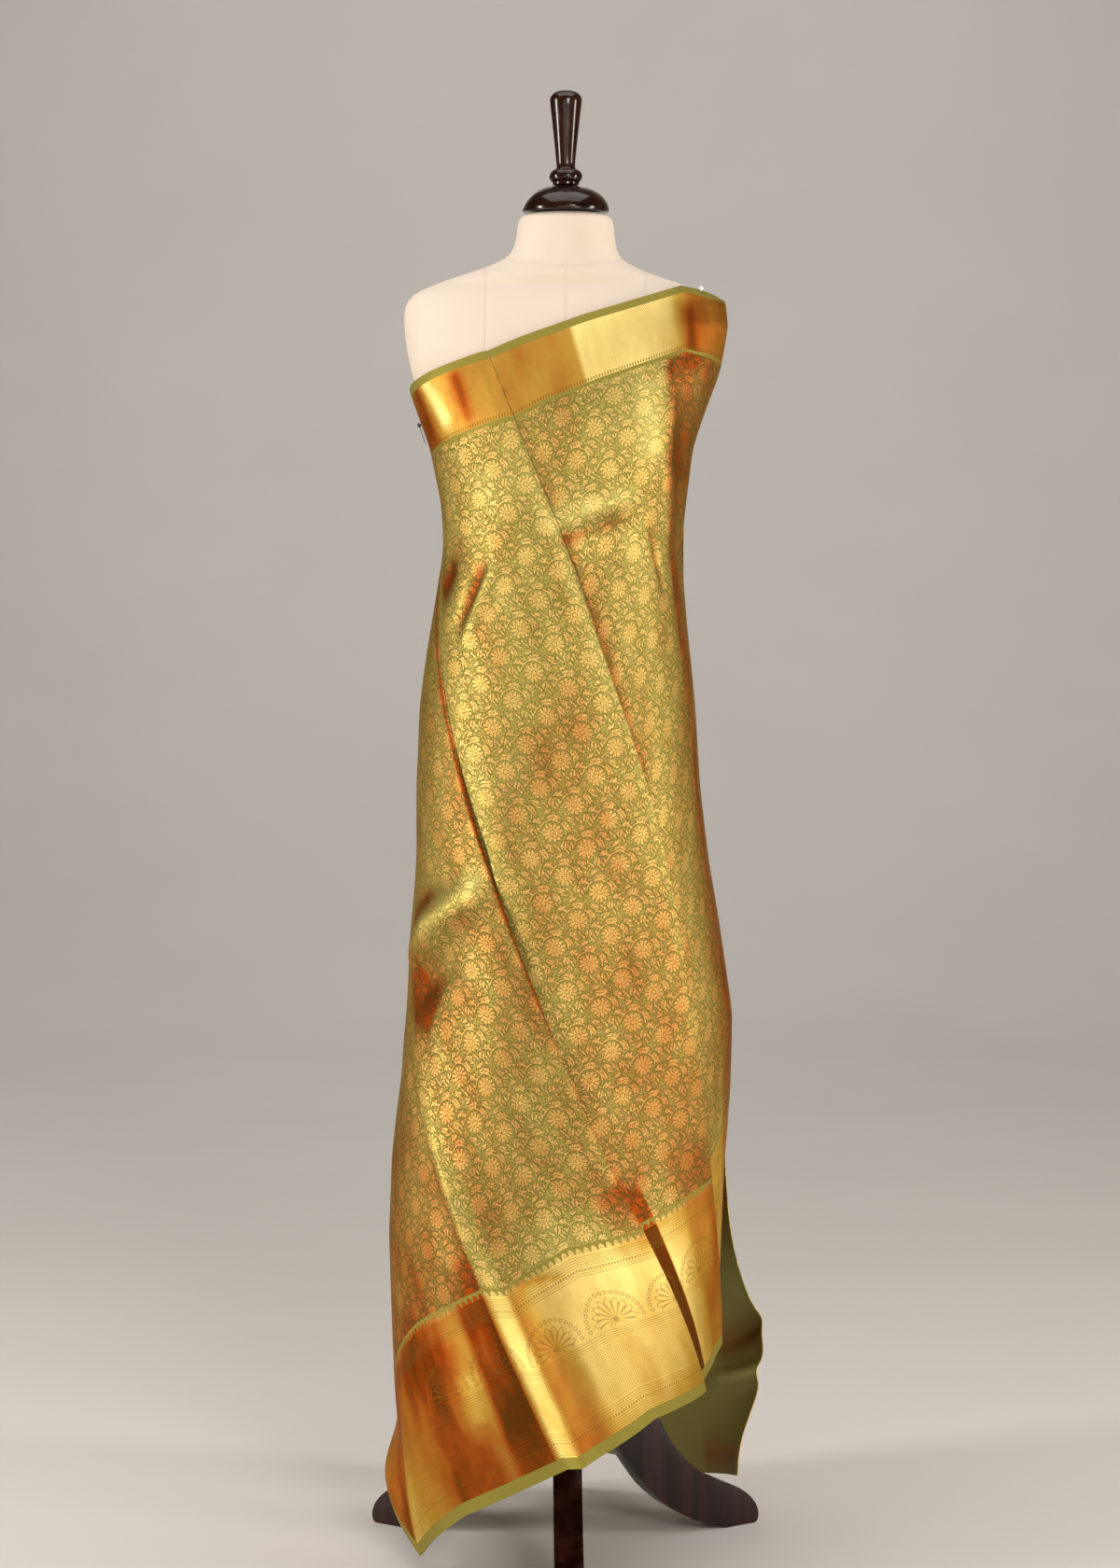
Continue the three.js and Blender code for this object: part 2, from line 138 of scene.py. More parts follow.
# %% [markdown]
# Each finish is a tree of shader nodes. Wiring sums by hand is slow, so short functions do it: each takes
# numbers or sockets, adds its node to the tree in hand, and gives back the socket that comes out. What
# more than one finish uses is a node group with named inputs, built once.

# %% Wiring shader nodes
desk = {"tree": None}


def add_node(kind, feeds=(), **settings):
    """Adds a node to the tree in hand, with numbers or sockets for its inputs."""
    made = desk["tree"].nodes.new(kind)
    for name, value in settings.items():
        setattr(made, name, value)
    return feed(made, feeds)


def feed(node, feeds):
    for title, value in dict(feeds).items():
        if isinstance(value, bpy.types.NodeSocket):
            desk["tree"].links.new(value, node.inputs[title])
        else:
            node.inputs[title].default_value = value
    return node


def fill(node, **feeds):
    """Feeds inputs of a node by name, with an underscore for each space."""
    return feed(node, {name.replace("_", " "): value for name, value in feeds.items()}).outputs


def arithmetic(operation):
    def work_out(*values, clamp=False):
        return add_node("ShaderNodeMath", enumerate(values), operation=operation, use_clamp=clamp).outputs[0]
    return work_out


plus, less, times, times_plus, over, most, least, absolute, remainder, sine, cosine, angle_of, root = map(
    arithmetic, ("ADD", "SUBTRACT", "MULTIPLY", "MULTIPLY_ADD", "DIVIDE", "MAXIMUM", "MINIMUM", "ABSOLUTE",
                 "FLOORED_MODULO", "SINE", "COSINE", "ARCTAN2", "SQRT"))


def step(*feeds):
    """A smooth step of a value, from low to high, and if given, to another low and high."""
    return add_node("ShaderNodeMapRange", enumerate(feeds), interpolation_type="SMOOTHSTEP").outputs[0]


def mix(share, first, second):
    return add_node("ShaderNodeMix", {0: share, 6: first, 7: second}, data_type="RGBA").outputs[2]


def blend(share, first, second):
    return add_node("ShaderNodeMix", {0: share, 2: first, 3: second}, data_type="FLOAT").outputs[0]


def noise(vector, scale, detail=2.0, roughness=0.5):
    feeds = {"Vector": vector, "Scale": scale, "Detail": detail, "Roughness": roughness}
    return add_node("ShaderNodeTexNoise", feeds).outputs["Fac"]


def stretched(vector, scale, turn=0.0):
    feeds = {"Vector": vector, "Scale": scale, "Rotation": (0, 0, turn)}
    return add_node("ShaderNodeMapping", feeds, vector_type="POINT").outputs["Vector"]


def point_at(x, y):
    return add_node("ShaderNodeCombineXYZ", {0: x, 1: y}).outputs[0]


def measure(operation, *vectors, output="Value"):
    return add_node("ShaderNodeVectorMath", enumerate(vectors), operation=operation).outputs[output]


def split(vector):
    return add_node("ShaderNodeSeparateXYZ", {0: vector}).outputs[:2]


def bump(height, distance, strength=1.0):
    feeds = {"Strength": strength, "Distance": distance, "Height": height}
    return add_node("ShaderNodeBump", feeds).outputs["Normal"]


def object_place():
    return add_node("ShaderNodeTexCoord").outputs["Object"]


def new_group(name, inputs, outputs):
    """An empty node group with named inputs, numbers or a vector, and named numbers as outputs."""
    tree = bpy.data.node_groups.new(name, "ShaderNodeTree")
    for title, start in inputs.items():
        kind = "NodeSocketVector" if title == "Vector" else "NodeSocketFloat"
        socket = tree.interface.new_socket(name=title, in_out="INPUT", socket_type=kind)
        if start is not None:
            socket.default_value = start
    for title in outputs:
        tree.interface.new_socket(name=title, in_out="OUTPUT", socket_type="NodeSocketFloat")
    desk["tree"] = tree
    return tree, add_node("NodeGroupInput").outputs, add_node("NodeGroupOutput")


def use_group(tree, **values):
    return fill(add_node("ShaderNodeGroup", node_tree=tree), **values)


def new_finish(name):
    """A new material, now the tree in hand, and its Principled shader."""
    finish = bpy.data.materials.new(name)
    finish.use_nodes = True
    desk["tree"] = finish.node_tree
    return finish, finish.node_tree.nodes["Principled BSDF"]


print("the desk is ready")

# %% [markdown]
# Studio paper is pale and dull, with a little mottling, so that it takes a soft shadow.

# %% Paper of the studio
paper, shader = new_finish("studio_paper")
mottle = noise(object_place(), 1.7, 3.0)
fill(shader, Base_Color=mix(mottle, (0.6, 0.585, 0.57, 1), (0.66, 0.645, 0.63, 1)), Roughness=0.85)
sweep.data.materials.append(paper)
print("paper is on the sweep")

# %% [markdown]
# Silk and cotton are both woven: threads run two ways, over and under each other. One group makes that
# weave for any cloth. From a place in millimetres it gives a height, out of two crossing waves, and a
# slub value for threads that are a little thicker or duller than the next.

# %% Node group: woven threads
weave, given, out = new_group(
    "woven_threads", {"Vector": None, "Pitch": 0.5, "Slub": 0.5}, ["Height", "Slub"])
across, down = split(given["Vector"])
turns = over(2 * math.pi, given["Pitch"])
crossing = times(sine(times(across, turns)), sine(times(down, turns)))
long_slubs = noise(stretched(given["Vector"], (0.9, 0.06, 1)), 1.0)
cross_slubs = noise(stretched(given["Vector"], (0.05, 1.1, 1)), 1.0)
slub = times(plus(long_slubs, cross_slubs), given["Slub"])
fill(out, Height=times_plus(crossing, 0.5, slub), Slub=slub)
print("woven threads:", len(weave.nodes), "nodes")

# %% [markdown]
# The body of the saree is a brocade: gold thread is woven into green silk as flowers, vines and leaves,
# in a half-drop repeat. Every shape gives a depth in millimetres, above zero inside it, so a union is a
# maximum and a cut is a minimum. A leaf is where one less the square of the way along is more than the
# way across, and one table places the leaves round the flower.

# %% Node group: one flower with its leaves
LEAVES = [
    # across, down, turn in degrees, half length, half width, half vein
    (5.1, -16.4, 8, 8.6, 3.5, 0.32), (16.4, -3.4, 70, 8.4, 3.0, 0.3),
    (8.0, 16.8, 114, 6.0, 3.6, 0.5), (-9.6, 14.6, 50, 6.4, 2.5, 0.3),
    (0.6, -23.4, -17, 4.8, 2.1, 0), (-14.6, -7.4, 84, 4.4, 1.3, 0), (-17.8, -4.6, 76, 4.4, 1.3, 0),
    (-20.8, -0.6, 66, 4.2, 1.3, 0), (-1.6, 14.6, 78, 3.6, 1.2, 0), (1.6, 19.6, 64, 4.2, 1.3, 0),
    (-6.4, 20.6, 20, 4.4, 1.3, 0), (15.4, 8.4, -40, 4.6, 1.3, 0), (20.6, 12.0, 34, 5.0, 1.4, 0),
    (23.4, -11.6, 30, 4.8, 1.4, 0), (-12.2, -16.2, -34, 5.2, 1.5, 0),
    (-22.6, 9.4, 100, 4.6, 1.3, 0),
]
PETALS = 12
FLOWER_RADIUS = 10.2
PETAL_BULGE = 1.2
HEART_RADIUS = 5.0
EYE_RADIUS = 2.8
ARCH_RADIUS = 14.0
ARCH_HALF_WIDTH = 0.75

sprig, given, out = new_group("brocade_sprig", {"Vector": None}, ["Depth", "Flower"])
place = given["Vector"]
reach = measure("LENGTH", place)
across, down = split(place)
lobe = cosine(times(angle_of(down, across), float(PETALS)))
flower = less(times_plus(lobe, PETAL_BULGE, FLOWER_RADIUS), reach)
petals = least(flower, most(times_plus(lobe, 2.2, 1.75), less(HEART_RADIUS, reach)))
eye = less(absolute(less(reach, EYE_RADIUS)), 0.3)
arch = less(ARCH_HALF_WIDTH, absolute(less(reach, ARCH_RADIUS)))
arch_side = measure("DOT_PRODUCT", place, (0.4, -0.9, 0))
depth = most(least(petals, eye), least(arch, arch_side))
for x, y, turn, half_length, half_width, half_vein in LEAVES:
    c, s = math.cos(math.radians(turn)), math.sin(math.radians(turn))
    local = measure("ADD", place, (-x, -y, 0), output="Vector")
    along = measure("DOT_PRODUCT", local, (c / half_length, s / half_length, 0))
    side = absolute(measure("DOT_PRODUCT", local, (-s, c, 0)))
    leaf = less(times_plus(times(along, along), -half_width, half_width), side)
    if half_vein:
        leaf = least(leaf, less(side, half_vein))
    depth = most(depth, leaf)
fill(out, Depth=depth, Flower=flower)
print("brocade sprig:", len(sprig.nodes), "nodes")

# %% [markdown]
# Both edges of the cloth are gold borders with a green selvedge, read by the distance from the edge: fine
# woven lines, dotted rows, a checked band, and a row of fans. One group draws a stripe for a band of
# distances, and another draws the fan, from rays that spread out of one point.

# %% Node groups: band and fan
band, given, out = new_group("band", {"Distance": 0.0, "From": 0.0, "To": 1.0}, ["Inside"])
after = step(less(given["Distance"], given["From"]), -0.25, 0.25)
before = step(less(given["To"], given["Distance"]), -0.25, 0.25)
fill(out, Inside=times(after, before))

FAN_REPEAT = 75.0
FAN_LEAVES = 16
FAN_REACH = 25.0
FAN_SCALLOP = 2.4
CURL_REACH = 32.0
CURL_PITCH = 6.2
CURL_RADIUS = 1.8
fan, given, out = new_group("fan_tree", {"Vector": None}, ["Line"])
place = given["Vector"]
reach = measure("LENGTH", place)
across, up = split(place)
angle = angle_of(across, up)
leaf = cosine(times(angle, float(FAN_LEAVES)))
leaf_end = times_plus(leaf, FAN_SCALLOP, FAN_REACH - FAN_SCALLOP)
rays = times(step(leaf, -0.25, -0.7), step(less(leaf_end, reach), -0.4, 0.4))
rim = step(absolute(less(reach, leaf_end)), 1.0, 0.5)
curl_step = less(remainder(times(angle, CURL_REACH), CURL_PITCH), CURL_PITCH / 2)
curl_reach = measure("LENGTH", point_at(curl_step, less(reach, CURL_REACH)))
curls = step(absolute(less(curl_reach, CURL_RADIUS)), 0.8, 0.4)
lines = most(most(most(rays, rim), curls), step(reach, 3.6, 3.0))
fill(out, Line=times(lines, step(up, -7.0, -5.0)))
print("band:", len(band.nodes), "nodes, fan:", len(fan.nodes), "nodes")

# %% [markdown]
# The cloth's UV map holds its woven place in metres: U along the length, V from the top edge down to the
# hem. The face adds the sprigs, borders and selvedges from that place. Gold thread is metal, and the
# green silk between it is a softer satin. The painted shade and sheen of each fold, worked out further
# on, darkens or lightens both.

# %% Finish: face of the silk
CLOTH_WIDTH_MM = 1190
TOP_SELVEDGE = 9
TOP_GOLD_END = 76
TOP_BORDER = 78
HEM_BORDER = 205
HEM_SELVEDGE = 14
REPEAT_ALONG = 62.0
REPEAT_DOWN = 50.7
LINE_PITCH = 2.6
SCROLL_SIZE = 0.13
SCROLL_LINES = 13.0
HEM_LINES = [(14, 30), (33, 45), (105, 118), (180, 186), (189, 203)]
HEM_DOTS = [(30.4, 32.6), (186.4, 188.6)]
HEM_CHECK = (46, 104)
HEM_FANS = (118, 180)
TOP_TEETH = (71.5, 75.0)
BUD_PITCH = 8.4
DOT_PITCH = 3.3
CHECK_PITCH = 4.6
TWILL_PITCH = 2.7


def woven_place():
    """A point's place in the flat cloth, in millimetres: along, down, and both as one vector."""
    metres = split(add_node("ShaderNodeUVMap", uv_map="woven").outputs["UV"])
    u, v = (times(part, 1000.0) for part in metres)
    return u, v, point_at(u, v)


def centred(value, repeat, shift=0.0):
    """The distance from the nearest of a row of places that lie one repeat apart."""
    return less(remainder(plus(value, shift + repeat / 2), repeat), repeat / 2)


def within(distance, low, high):
    return use_group(band, Distance=distance, From=float(low), To=float(high))["Inside"]


def wave(value, pitch):
    return sine(times(value, 2 * math.pi / pitch))


# The painted sheen and shade that each point of the cloth carries, from minus one to one.
def painted_sheen_and_shade():
    return add_node("ShaderNodeAttribute", attribute_name="painted_sheen_and_shade").outputs["Fac"]


silk, shader = new_finish("saree_silk_face")
u, v, place = woven_place()
hem = less(float(CLOTH_WIDTH_MM), v)
found = [use_group(sprig, Vector=point_at(centred(u, REPEAT_ALONG, shift * REPEAT_ALONG),
                                          centred(v, REPEAT_DOWN, shift * REPEAT_DOWN)))
         for shift in (0.0, 0.5)]
depth = most(*(sockets["Depth"] for sockets in found))
flower = most(*(sockets["Flower"] for sockets in found))

in_top = within(v, TOP_SELVEDGE, TOP_GOLD_END)
in_hem = within(hem, HEM_SELVEDGE, HEM_BORDER)
in_body = within(v, TOP_BORDER + 2, CLOTH_WIDTH_MM - HEM_BORDER - 9)
bud_across = centred(u, BUD_PITCH)
bud_up = less(hem, HEM_BORDER - 1.0)
bud_reach = root(plus(times(bud_across, bud_across), times(times(bud_up, bud_up), 0.22)))
buds = times(step(bud_reach, 3.6, 3.1), step(hem, HEM_BORDER - 2.0, HEM_BORDER))

fine_lines = step(wave(v, LINE_PITCH), 0.25, 0.8)
dots = step(wave(u, DOT_PITCH), 0.0, 0.5)
checks = step(times(wave(plus(u, v), CHECK_PITCH), wave(less(u, v), CHECK_PITCH)), 0.1, 0.45)
twill = step(wave(plus(u, v), TWILL_PITCH), 0.3, 0.9)
fan_place = point_at(centred(u, FAN_REPEAT), less(hem, HEM_FANS[0] + 8.0))
fans = use_group(fan, Vector=fan_place)["Line"]
marks = times(times(in_top, twill), 0.45)
marks = most(marks, times(within(v, *TOP_TEETH), times(dots, 0.8)))
for bands, pattern, strength in ((HEM_LINES, fine_lines, 0.55), (HEM_DOTS, dots, 0.9),
                                 ([HEM_CHECK], checks, 0.5), ([HEM_FANS], fans, 0.5)):
    for low, high in bands:
        marks = most(marks, times(times(within(hem, low, high), pattern), strength))

border_all = most(in_top, in_hem)
border_gold = times(most(border_all, buds), less(1.0, marks))
wander = noise(place, SCROLL_SIZE, 1.5, 0.4)
turn = remainder(times(wander, SCROLL_LINES), 1.0)
scroll = times(step(absolute(less(turn, 0.5)), 0.21, 0.12), step(depth, -0.9, -1.4))
body_gold = times(most(step(depth, -0.2, 0.25), scroll), in_body)
gold_share = most(border_gold, body_gold, clamp=True)

# The flecks are the speckle of the gold thread: partly the thread's own uneven colour, partly painted glints
# with painted shade between threads.
flecks = step(noise(stretched(place, (1.5, 0.42, 1), 0.5), 1.0, 2.0, 0.6), 0.38, 0.6)
threads = use_group(weave, Vector=place, Pitch=0.9, Slub=0.5)
slub = threads["Slub"]
# Slow random patches are added to the painted sheen and shade.
uneven = noise(stretched(place, (0.03, 0.012, 1)), 1.0, 3.0)
tone = plus(painted_sheen_and_shade(), times_plus(uneven, 1.4, -0.85))
# Painted sheen makes the gold and green paler, as where they would mirror a lamp; painted shade turns them
# orange-brown, and painted deep shadow near black in the borders where the shade is deepest.
painted_sheen_share, painted_shade_share = times(tone, 0.8, clamp=True), times(tone, -0.9, clamp=True)
painted_deep_shadow_share = times_plus(tone, -2.4, -2.4, clamp=True)
thread_gold = mix(flecks, (0.135, 0.058, 0.009, 1), (0.8, 0.57, 0.175, 1))
thread_gold = mix(times(step(flower, -0.3, 0.3), 0.15), thread_gold, (0.72, 0.48, 0.11, 1))
gold = mix(border_all, thread_gold, mix(slub, (0.46, 0.255, 0.034, 1), (0.62, 0.39, 0.068, 1)))
gold = mix(painted_shade_share, gold, (0.34, 0.055, 0.005, 1))
gold = mix(times(painted_sheen_share, blend(border_all, 0.5, 1.0)), gold, (1.0, 0.8, 0.28, 1))
gold = mix(times(painted_deep_shadow_share, border_all), gold, (0.1, 0.026, 0.003, 1))
green = mix(slub, (0.17, 0.16, 0.026, 1), (0.26, 0.26, 0.052, 1))
green = mix(painted_shade_share, green, (0.08, 0.036, 0.005, 1))
green = mix(times(painted_sheen_share, 0.7), green, (0.5, 0.46, 0.13, 1))
# A painted shadow, dark olive-brown, in a thin ring round the edge of each raised gold shape of the body.
rim = times(step(absolute(plus(depth, 0.35)), 0.65, 0.2), in_body)
green = mix(times(rim, 0.5), green, (0.085, 0.055, 0.008, 1))
in_edge = times(less(1.0, most(in_body, border_gold), clamp=True), less(1.0, border_all))
green = mix(in_edge, green, (0.25, 0.215, 0.04, 1))
ground = mix(border_all, green, (0.17, 0.085, 0.012, 1))
fill(shader, Base_Color=mix(gold_share, ground, gold), Metallic=blend(gold_share, 0.6, 0.95),
     Specular_Tint=(0.85, 0.55, 0.22, 1),
     Roughness=times_plus(slub, 0.12, blend(gold_share, 0.42, 0.29)),
     Normal=bump(times_plus(threads["Height"], 0.35, flecks), 0.00016))
print("silk face:", len(silk.node_tree.nodes), "nodes")

# %% [markdown]
# The wrong side shows where the lower edge flies out behind. It is a plain olive satin, a little duller,
# with clouds of paler thread, and the same painted shade and sheen as the face.

# %% Finish: reverse of the silk
reverse, shader = new_finish("saree_silk_reverse")
place = woven_place()[2]
threads = use_group(weave, Vector=place, Pitch=0.8, Slub=0.5)
cloudy = noise(stretched(place, (0.012, 0.02, 1)), 1.0, 3.0)
cloudy = times_plus(threads["Slub"], 0.6, times(cloudy, 0.4))
satin = mix(cloudy, (0.22, 0.17, 0.035, 1), (0.42, 0.36, 0.1, 1))
# Painted shade turns the satin brown, and painted sheen turns it light olive.
tone = painted_sheen_and_shade()
satin = mix(times(tone, -0.9, clamp=True), satin, (0.26, 0.085, 0.016, 1))
satin = mix(times(tone, 0.8, clamp=True), satin, (0.66, 0.62, 0.24, 1))
fill(shader, Base_Color=satin, Metallic=0.45, Roughness=times_plus(threads["Slub"], 0.12, 0.4),
     Normal=bump(threads["Height"], 0.00008))
print("silk reverse:", len(reverse.node_tree.nodes), "nodes")

# %% [markdown]
# The form is covered with off-white cotton, stretched over padding: a fine even weave with faint seams.
# The seams are lines in the height: one down the front, one over each breast, and one round the neck.

# %% Finish: cotton cover
NECK_SEAM_HEIGHT = 1.476
BREAST_SEAM = 0.088
cotton, shader = new_finish("form_cotton_cover")
where = object_place()
feeds = {"Vector": where, "Location": (POLE_X, POLE_Y, 0)}
moved = add_node("ShaderNodeMapping", feeds, vector_type="TEXTURE").outputs["Vector"]
x, y, z = add_node("ShaderNodeSeparateXYZ", {0: moved}).outputs
flat_place = point_at(times(plus(x, y), 1000.0), times(z, 1000.0))
threads = use_group(weave, Vector=flat_place, Pitch=0.9, Slub=0.5)


def seam_at(value, middle):
    return step(absolute(less(value, middle)), 0.0014, 0.0004)


seams = seam_at(z, times_plus(times(x, x), 2.2, NECK_SEAM_HEIGHT - 0.012))
below_neck = step(z, NECK_SEAM_HEIGHT, NECK_SEAM_HEIGHT - 0.01)
for middle in (0.0, -BREAST_SEAM, BREAST_SEAM):
    seams = most(seams, times(seam_at(x, middle), below_neck))
cloudy = times_plus(threads["Slub"], 0.5, times(noise(where, 9.0, 3.0), 0.5))
tone = mix(cloudy, (0.62, 0.51, 0.42, 1), (0.74, 0.63, 0.53, 1))
fill(shader, Base_Color=mix(times(seams, 0.35), tone, (0.55, 0.47, 0.4, 1)), Roughness=0.88,
     Sheen_Weight=0.15, Normal=bump(times_plus(seams, -3.0, threads["Height"]), 0.00012))
print("cotton:", len(cotton.node_tree.nodes), "nodes")

# %% [markdown]
# Neck cap, finial, pole and legs are of a dark red-brown wood under gloss lacquer. The grain only just
# shows, as long streaks up the piece, and the lacquer is a clear coat with a few fine scuffs.

# %% Finish: dark lacquered wood
wood, shader = new_finish("dark_lacquered_wood")
where = object_place()
streaks = noise(stretched(where, (60, 60, 3.0)), 1.0, 4.0, 0.6)
pores = noise(stretched(where, (420, 420, 24)), 1.0)
scuffs = noise(stretched(where, (140, 140, 30)), 1.0, 3.0)
tone = mix(step(streaks, 0.35, 0.7), (0.007, 0.0015, 0.001, 1), (0.026, 0.007, 0.005, 1))
fill(shader, Base_Color=mix(step(pores, 0.62, 0.75, 0, 0.5), tone, (0.004, 0.002, 0.001, 1)),
     Roughness=times_plus(step(scuffs, 0.5, 0.75), 0.14, 0.17), Specular_IOR_Level=0.3,
     Coat_Weight=0.2, Coat_Roughness=0.06, Normal=bump(times_plus(pores, 0.3, streaks), 0.0001, 0.5))
print("wood:", len(wood.node_tree.nodes), "nodes")

# %% [markdown]
# The cloth's shape is worked out as its solids are, in millimetres: an outline of the dressed form, guide
# lines that run down the cloth, and how far each guide stands out. The outline is smoothed between its
# sections, and the free edge behind is set a little further round than on the solid, so that no slit
# opens.

# %% The outline that the cloth keeps
OUTLINE = [
    # height, left, right, front, back, power
    (1446, 155, 140, 60, 74, 2.3), (1439, 173, 158, 68, 83, 2.4), (1427, 188, 178, 78, 91, 2.4),
    (1400, 185, 181, 92, 98, 2.4), (1350, 179, 172, 112, 104, 2.3), (1300, 161, 153, 128, 104, 2.2),
    (1265, 148, 141, 134, 100, 2.2), (1203, 136, 134, 128, 98, 2.2), (1150, 134, 129, 122, 96, 2.2),
    (1057, 149, 137, 134, 110, 2.2), (972, 160, 145, 148, 124, 2.2), (888, 164, 151, 160, 134, 2.2),
    (803, 165, 161, 170, 144, 2.2), (718, 171, 175, 178, 154, 2.2), (633, 175, 188, 186, 164, 2.2),
    (547, 184, 187, 194, 176, 2.2), (461, 195, 180, 202, 188, 2.2), (375, 199, 177, 210, 200, 2.2),
    (290, 197, 174, 216, 212, 2.2), (200, 194, 170, 220, 226, 2.2), (100, 186, 170, 222, 238, 2.2),
    (20, 170, 172, 220, 246, 2.2),
]
TALLEST = 1450
SMOOTHING = 25

heights_up = np.arange(TALLEST + 1)
outline_rows = np.array(OUTLINE[::-1], float)
smooth_outline = []
for column in range(1, 6):
    values = np.interp(heights_up, outline_rows[:, 0], outline_rows[:, column])
    padded = np.pad(values, SMOOTHING, mode="edge")
    window = np.hanning(2 * SMOOTHING + 1)
    softened = np.convolve(padded, window / window.sum(), mode="valid")
    keep = np.clip((heights_up - 1385) / 30, 0, 1)
    smooth_outline.append(softened * (1 - keep) + values * keep)
smooth_outline = np.array(smooth_outline)
print("outline at the waist:", np.round(smooth_outline[:4, 1150]))


# %% Points round the outline
def outline_point(section, angle):
    """Place and outward direction at an angle round a section, both in plan."""
    left, right, front, back, power = section
    s, c = np.sin(angle), np.cos(angle)
    width = np.where(s >= 0, right, left)
    depth = np.where(c >= 0, front, back)
    bend = 2 / power
    x = np.sign(s) * width * np.abs(s) ** bend
    y = -np.sign(c) * depth * np.abs(c) ** bend
    out_x = np.sign(s) * np.abs(s) ** (2 - bend) / width
    out_y = -np.sign(c) * np.abs(c) ** (2 - bend) / depth
    size = np.hypot(out_x, out_y)
    return x, y, out_x / size, out_y / size


RULER_STEPS = 720
ruler_angles = np.linspace(-math.pi, math.pi, RULER_STEPS + 1)
angle_marks = np.empty((TALLEST + 1, RULER_STEPS + 1))
round_totals = np.empty(TALLEST + 1)
round_starts = np.empty(TALLEST + 1)
for height in heights_up:
    x, y, _, _ = outline_point(smooth_outline[:, height], ruler_angles)
    marks = np.concatenate([[0], np.cumsum(np.hypot(np.diff(x), np.diff(y)))])
    round_totals[height] = marks[-1]
    round_starts[height] = marks[RULER_STEPS // 2]
    angle_marks[height] = np.interp(np.linspace(0, marks[-1], RULER_STEPS + 1), marks, ruler_angles)
print("round the hips:", round(round_totals[900]), "mm, round the hem:", round(round_totals[100]), "mm")


def on_outline(round_mm, height_mm, lift_mm):
    """Points that lie a distance round the outline from its front middle, lifted out by the lift."""
    height = np.clip(height_mm, 0, TALLEST)
    low = np.minimum(height.astype(int), TALLEST - 1)
    part = height - low

    def at_height(values):
        return values[..., low] * (1 - part) + values[..., low + 1] * part

    share = np.mod((round_mm + at_height(round_starts)) / at_height(round_totals), 1.0) * RULER_STEPS
    i = np.minimum(share.astype(int), RULER_STEPS - 1)
    between = share - i
    below, above = (angle_marks[row, i] * (1 - between) + angle_marks[row, i + 1] * between
                    for row in (low, low + 1))
    angle = below * (1 - part) + above * part
    x, y, out_x, out_y = outline_point(at_height(smooth_outline), angle)
    return np.stack([x + out_x * lift_mm, y + out_y * lift_mm, height_mm], axis=-1)


# %% [markdown]
# Guide lines follow the weft, from the top edge to the hem. The long diagonal folds are guides too: at
# left_fold and right_fold the cloth turns back under itself, to the tuck, and comes out again. They start
# flat at the top and deepen towards the hem, as where stiff silk hangs from a pinned edge.

# %% Guide lines of the cloth
GUIDES = [
    # name, columns, round at five places from top to hem, height at top and hem, lift at the five places
    ("free_edge", 0, -545, -622, -762, -880, -905, 1235, 62, 3, 2.6, 4, 22, 34),
    ("right_back", 34, -528, -585, -676, -755, -780, 1225, 33, 5, 5, 6, 8, 10),
    ("back_middle", 28, -514, -550, -586, -615, -640, 1215, 56, 5, 5, 5, 5, 6),
    ("left_back", 28, -500, -500, -500, -490, -480, 1205, 86, 5, 5, 5, 5, 6),
    ("left_side", 26, -465, -445, -425, -390, -345, 1200, 64, 5, 5, 5, 3, 1),
    ("left_corner", 24, -440, -408, -372, -305, -225, 1200, 24, 5, 5, 4, 1, 0),
    ("left_panel", 22, -418, -375, -325, -225, -116, 1210, 102, 5, 5, 4, 0, 0),
    ("ridge", 24, -395, -345, -262, -123, 2, 1235, 166, 5, 5, 4, 4, 7),
    ("ridge_foot", 4, -385, -332, -248, -108, 18, 1239, 163, 5, 5, 3, 0, -1),
    ("middle_panel", 18, -325, -255, -165, -38, 100, 1282, 211, 5, 4.6, 1.5, 1, 3),
    ("left_fold", 20, -262, -172, -71, 44, 183, 1318, 225, 4, 2.6, 6, 7.6, 11),
    ("left_fold_back", 2, -260, -170, -70, 43, 180, 1318, 224, 4, 1.8, 3.2, 4.4, 7.6),
    ("left_tuck", 8, -255, -166, -74, 18, 124, 1319, 215, 3.8, 1, 0.8, 2, 2.6),
    ("left_tuck_out", 1, -254.4, -165.2, -74, 18, 124, 1319, 215, 3.8, 0.9, -1.1, -0.2, 0.8),
    ("inner_crease", 12, -247, -157, -61, 59, 199, 1322, 236, 3.6, 1.4, 0.8, 0.8, 3),
    ("right_panel", 18, -175, -72, 28, 112, 224, 1342, 250, 1, 0, 0, 2, 5),
    ("right_fold", 20, -93, 20, 113, 166, 245, 1368, 264, 0, 2.2, 6.4, 7.6, 9.4),
    ("right_fold_back", 2, -91, 22, 113, 165, 243, 1368, 263, 0, 1.2, 3.4, 4.4, 6),
    ("right_tuck", 7, -86, 25, 106, 145, 205, 1369, 254, 0, 0.2, 1, 1.8, 1.2),
    ("right_tuck_out", 1, -85.5, 25.6, 106, 145, 205, 1369, 254, 0, -0.4, -1.2, -1, -1),
    ("side_front", 12, -50, 50, 140, 190, 268, 1384, 300),
    ("side_bust", 14, 20, 90, 165, 222, 292, 1409, 322),
    ("side_arm", 22, 131, 146, 205, 272, 330, 1443, 343),
    ("shoulder", 22, 222, 215, 268, 335, 385, 1428, 350),
    ("shoulder_back", 24, 330, 305, 372, 440, 485, 1412, 350),
    ("inner_back", 22, 455, 410, 500, 580, 640, 1385, 350, 0, -1, 0, 0, 0),
    ("inner_end", 26, 618, 545, 672, 795, 858, 1340, 345, 0, -2, 0, 0, 0),
]
NUMBER = {row[0]: i for i, row in enumerate(GUIDES)}


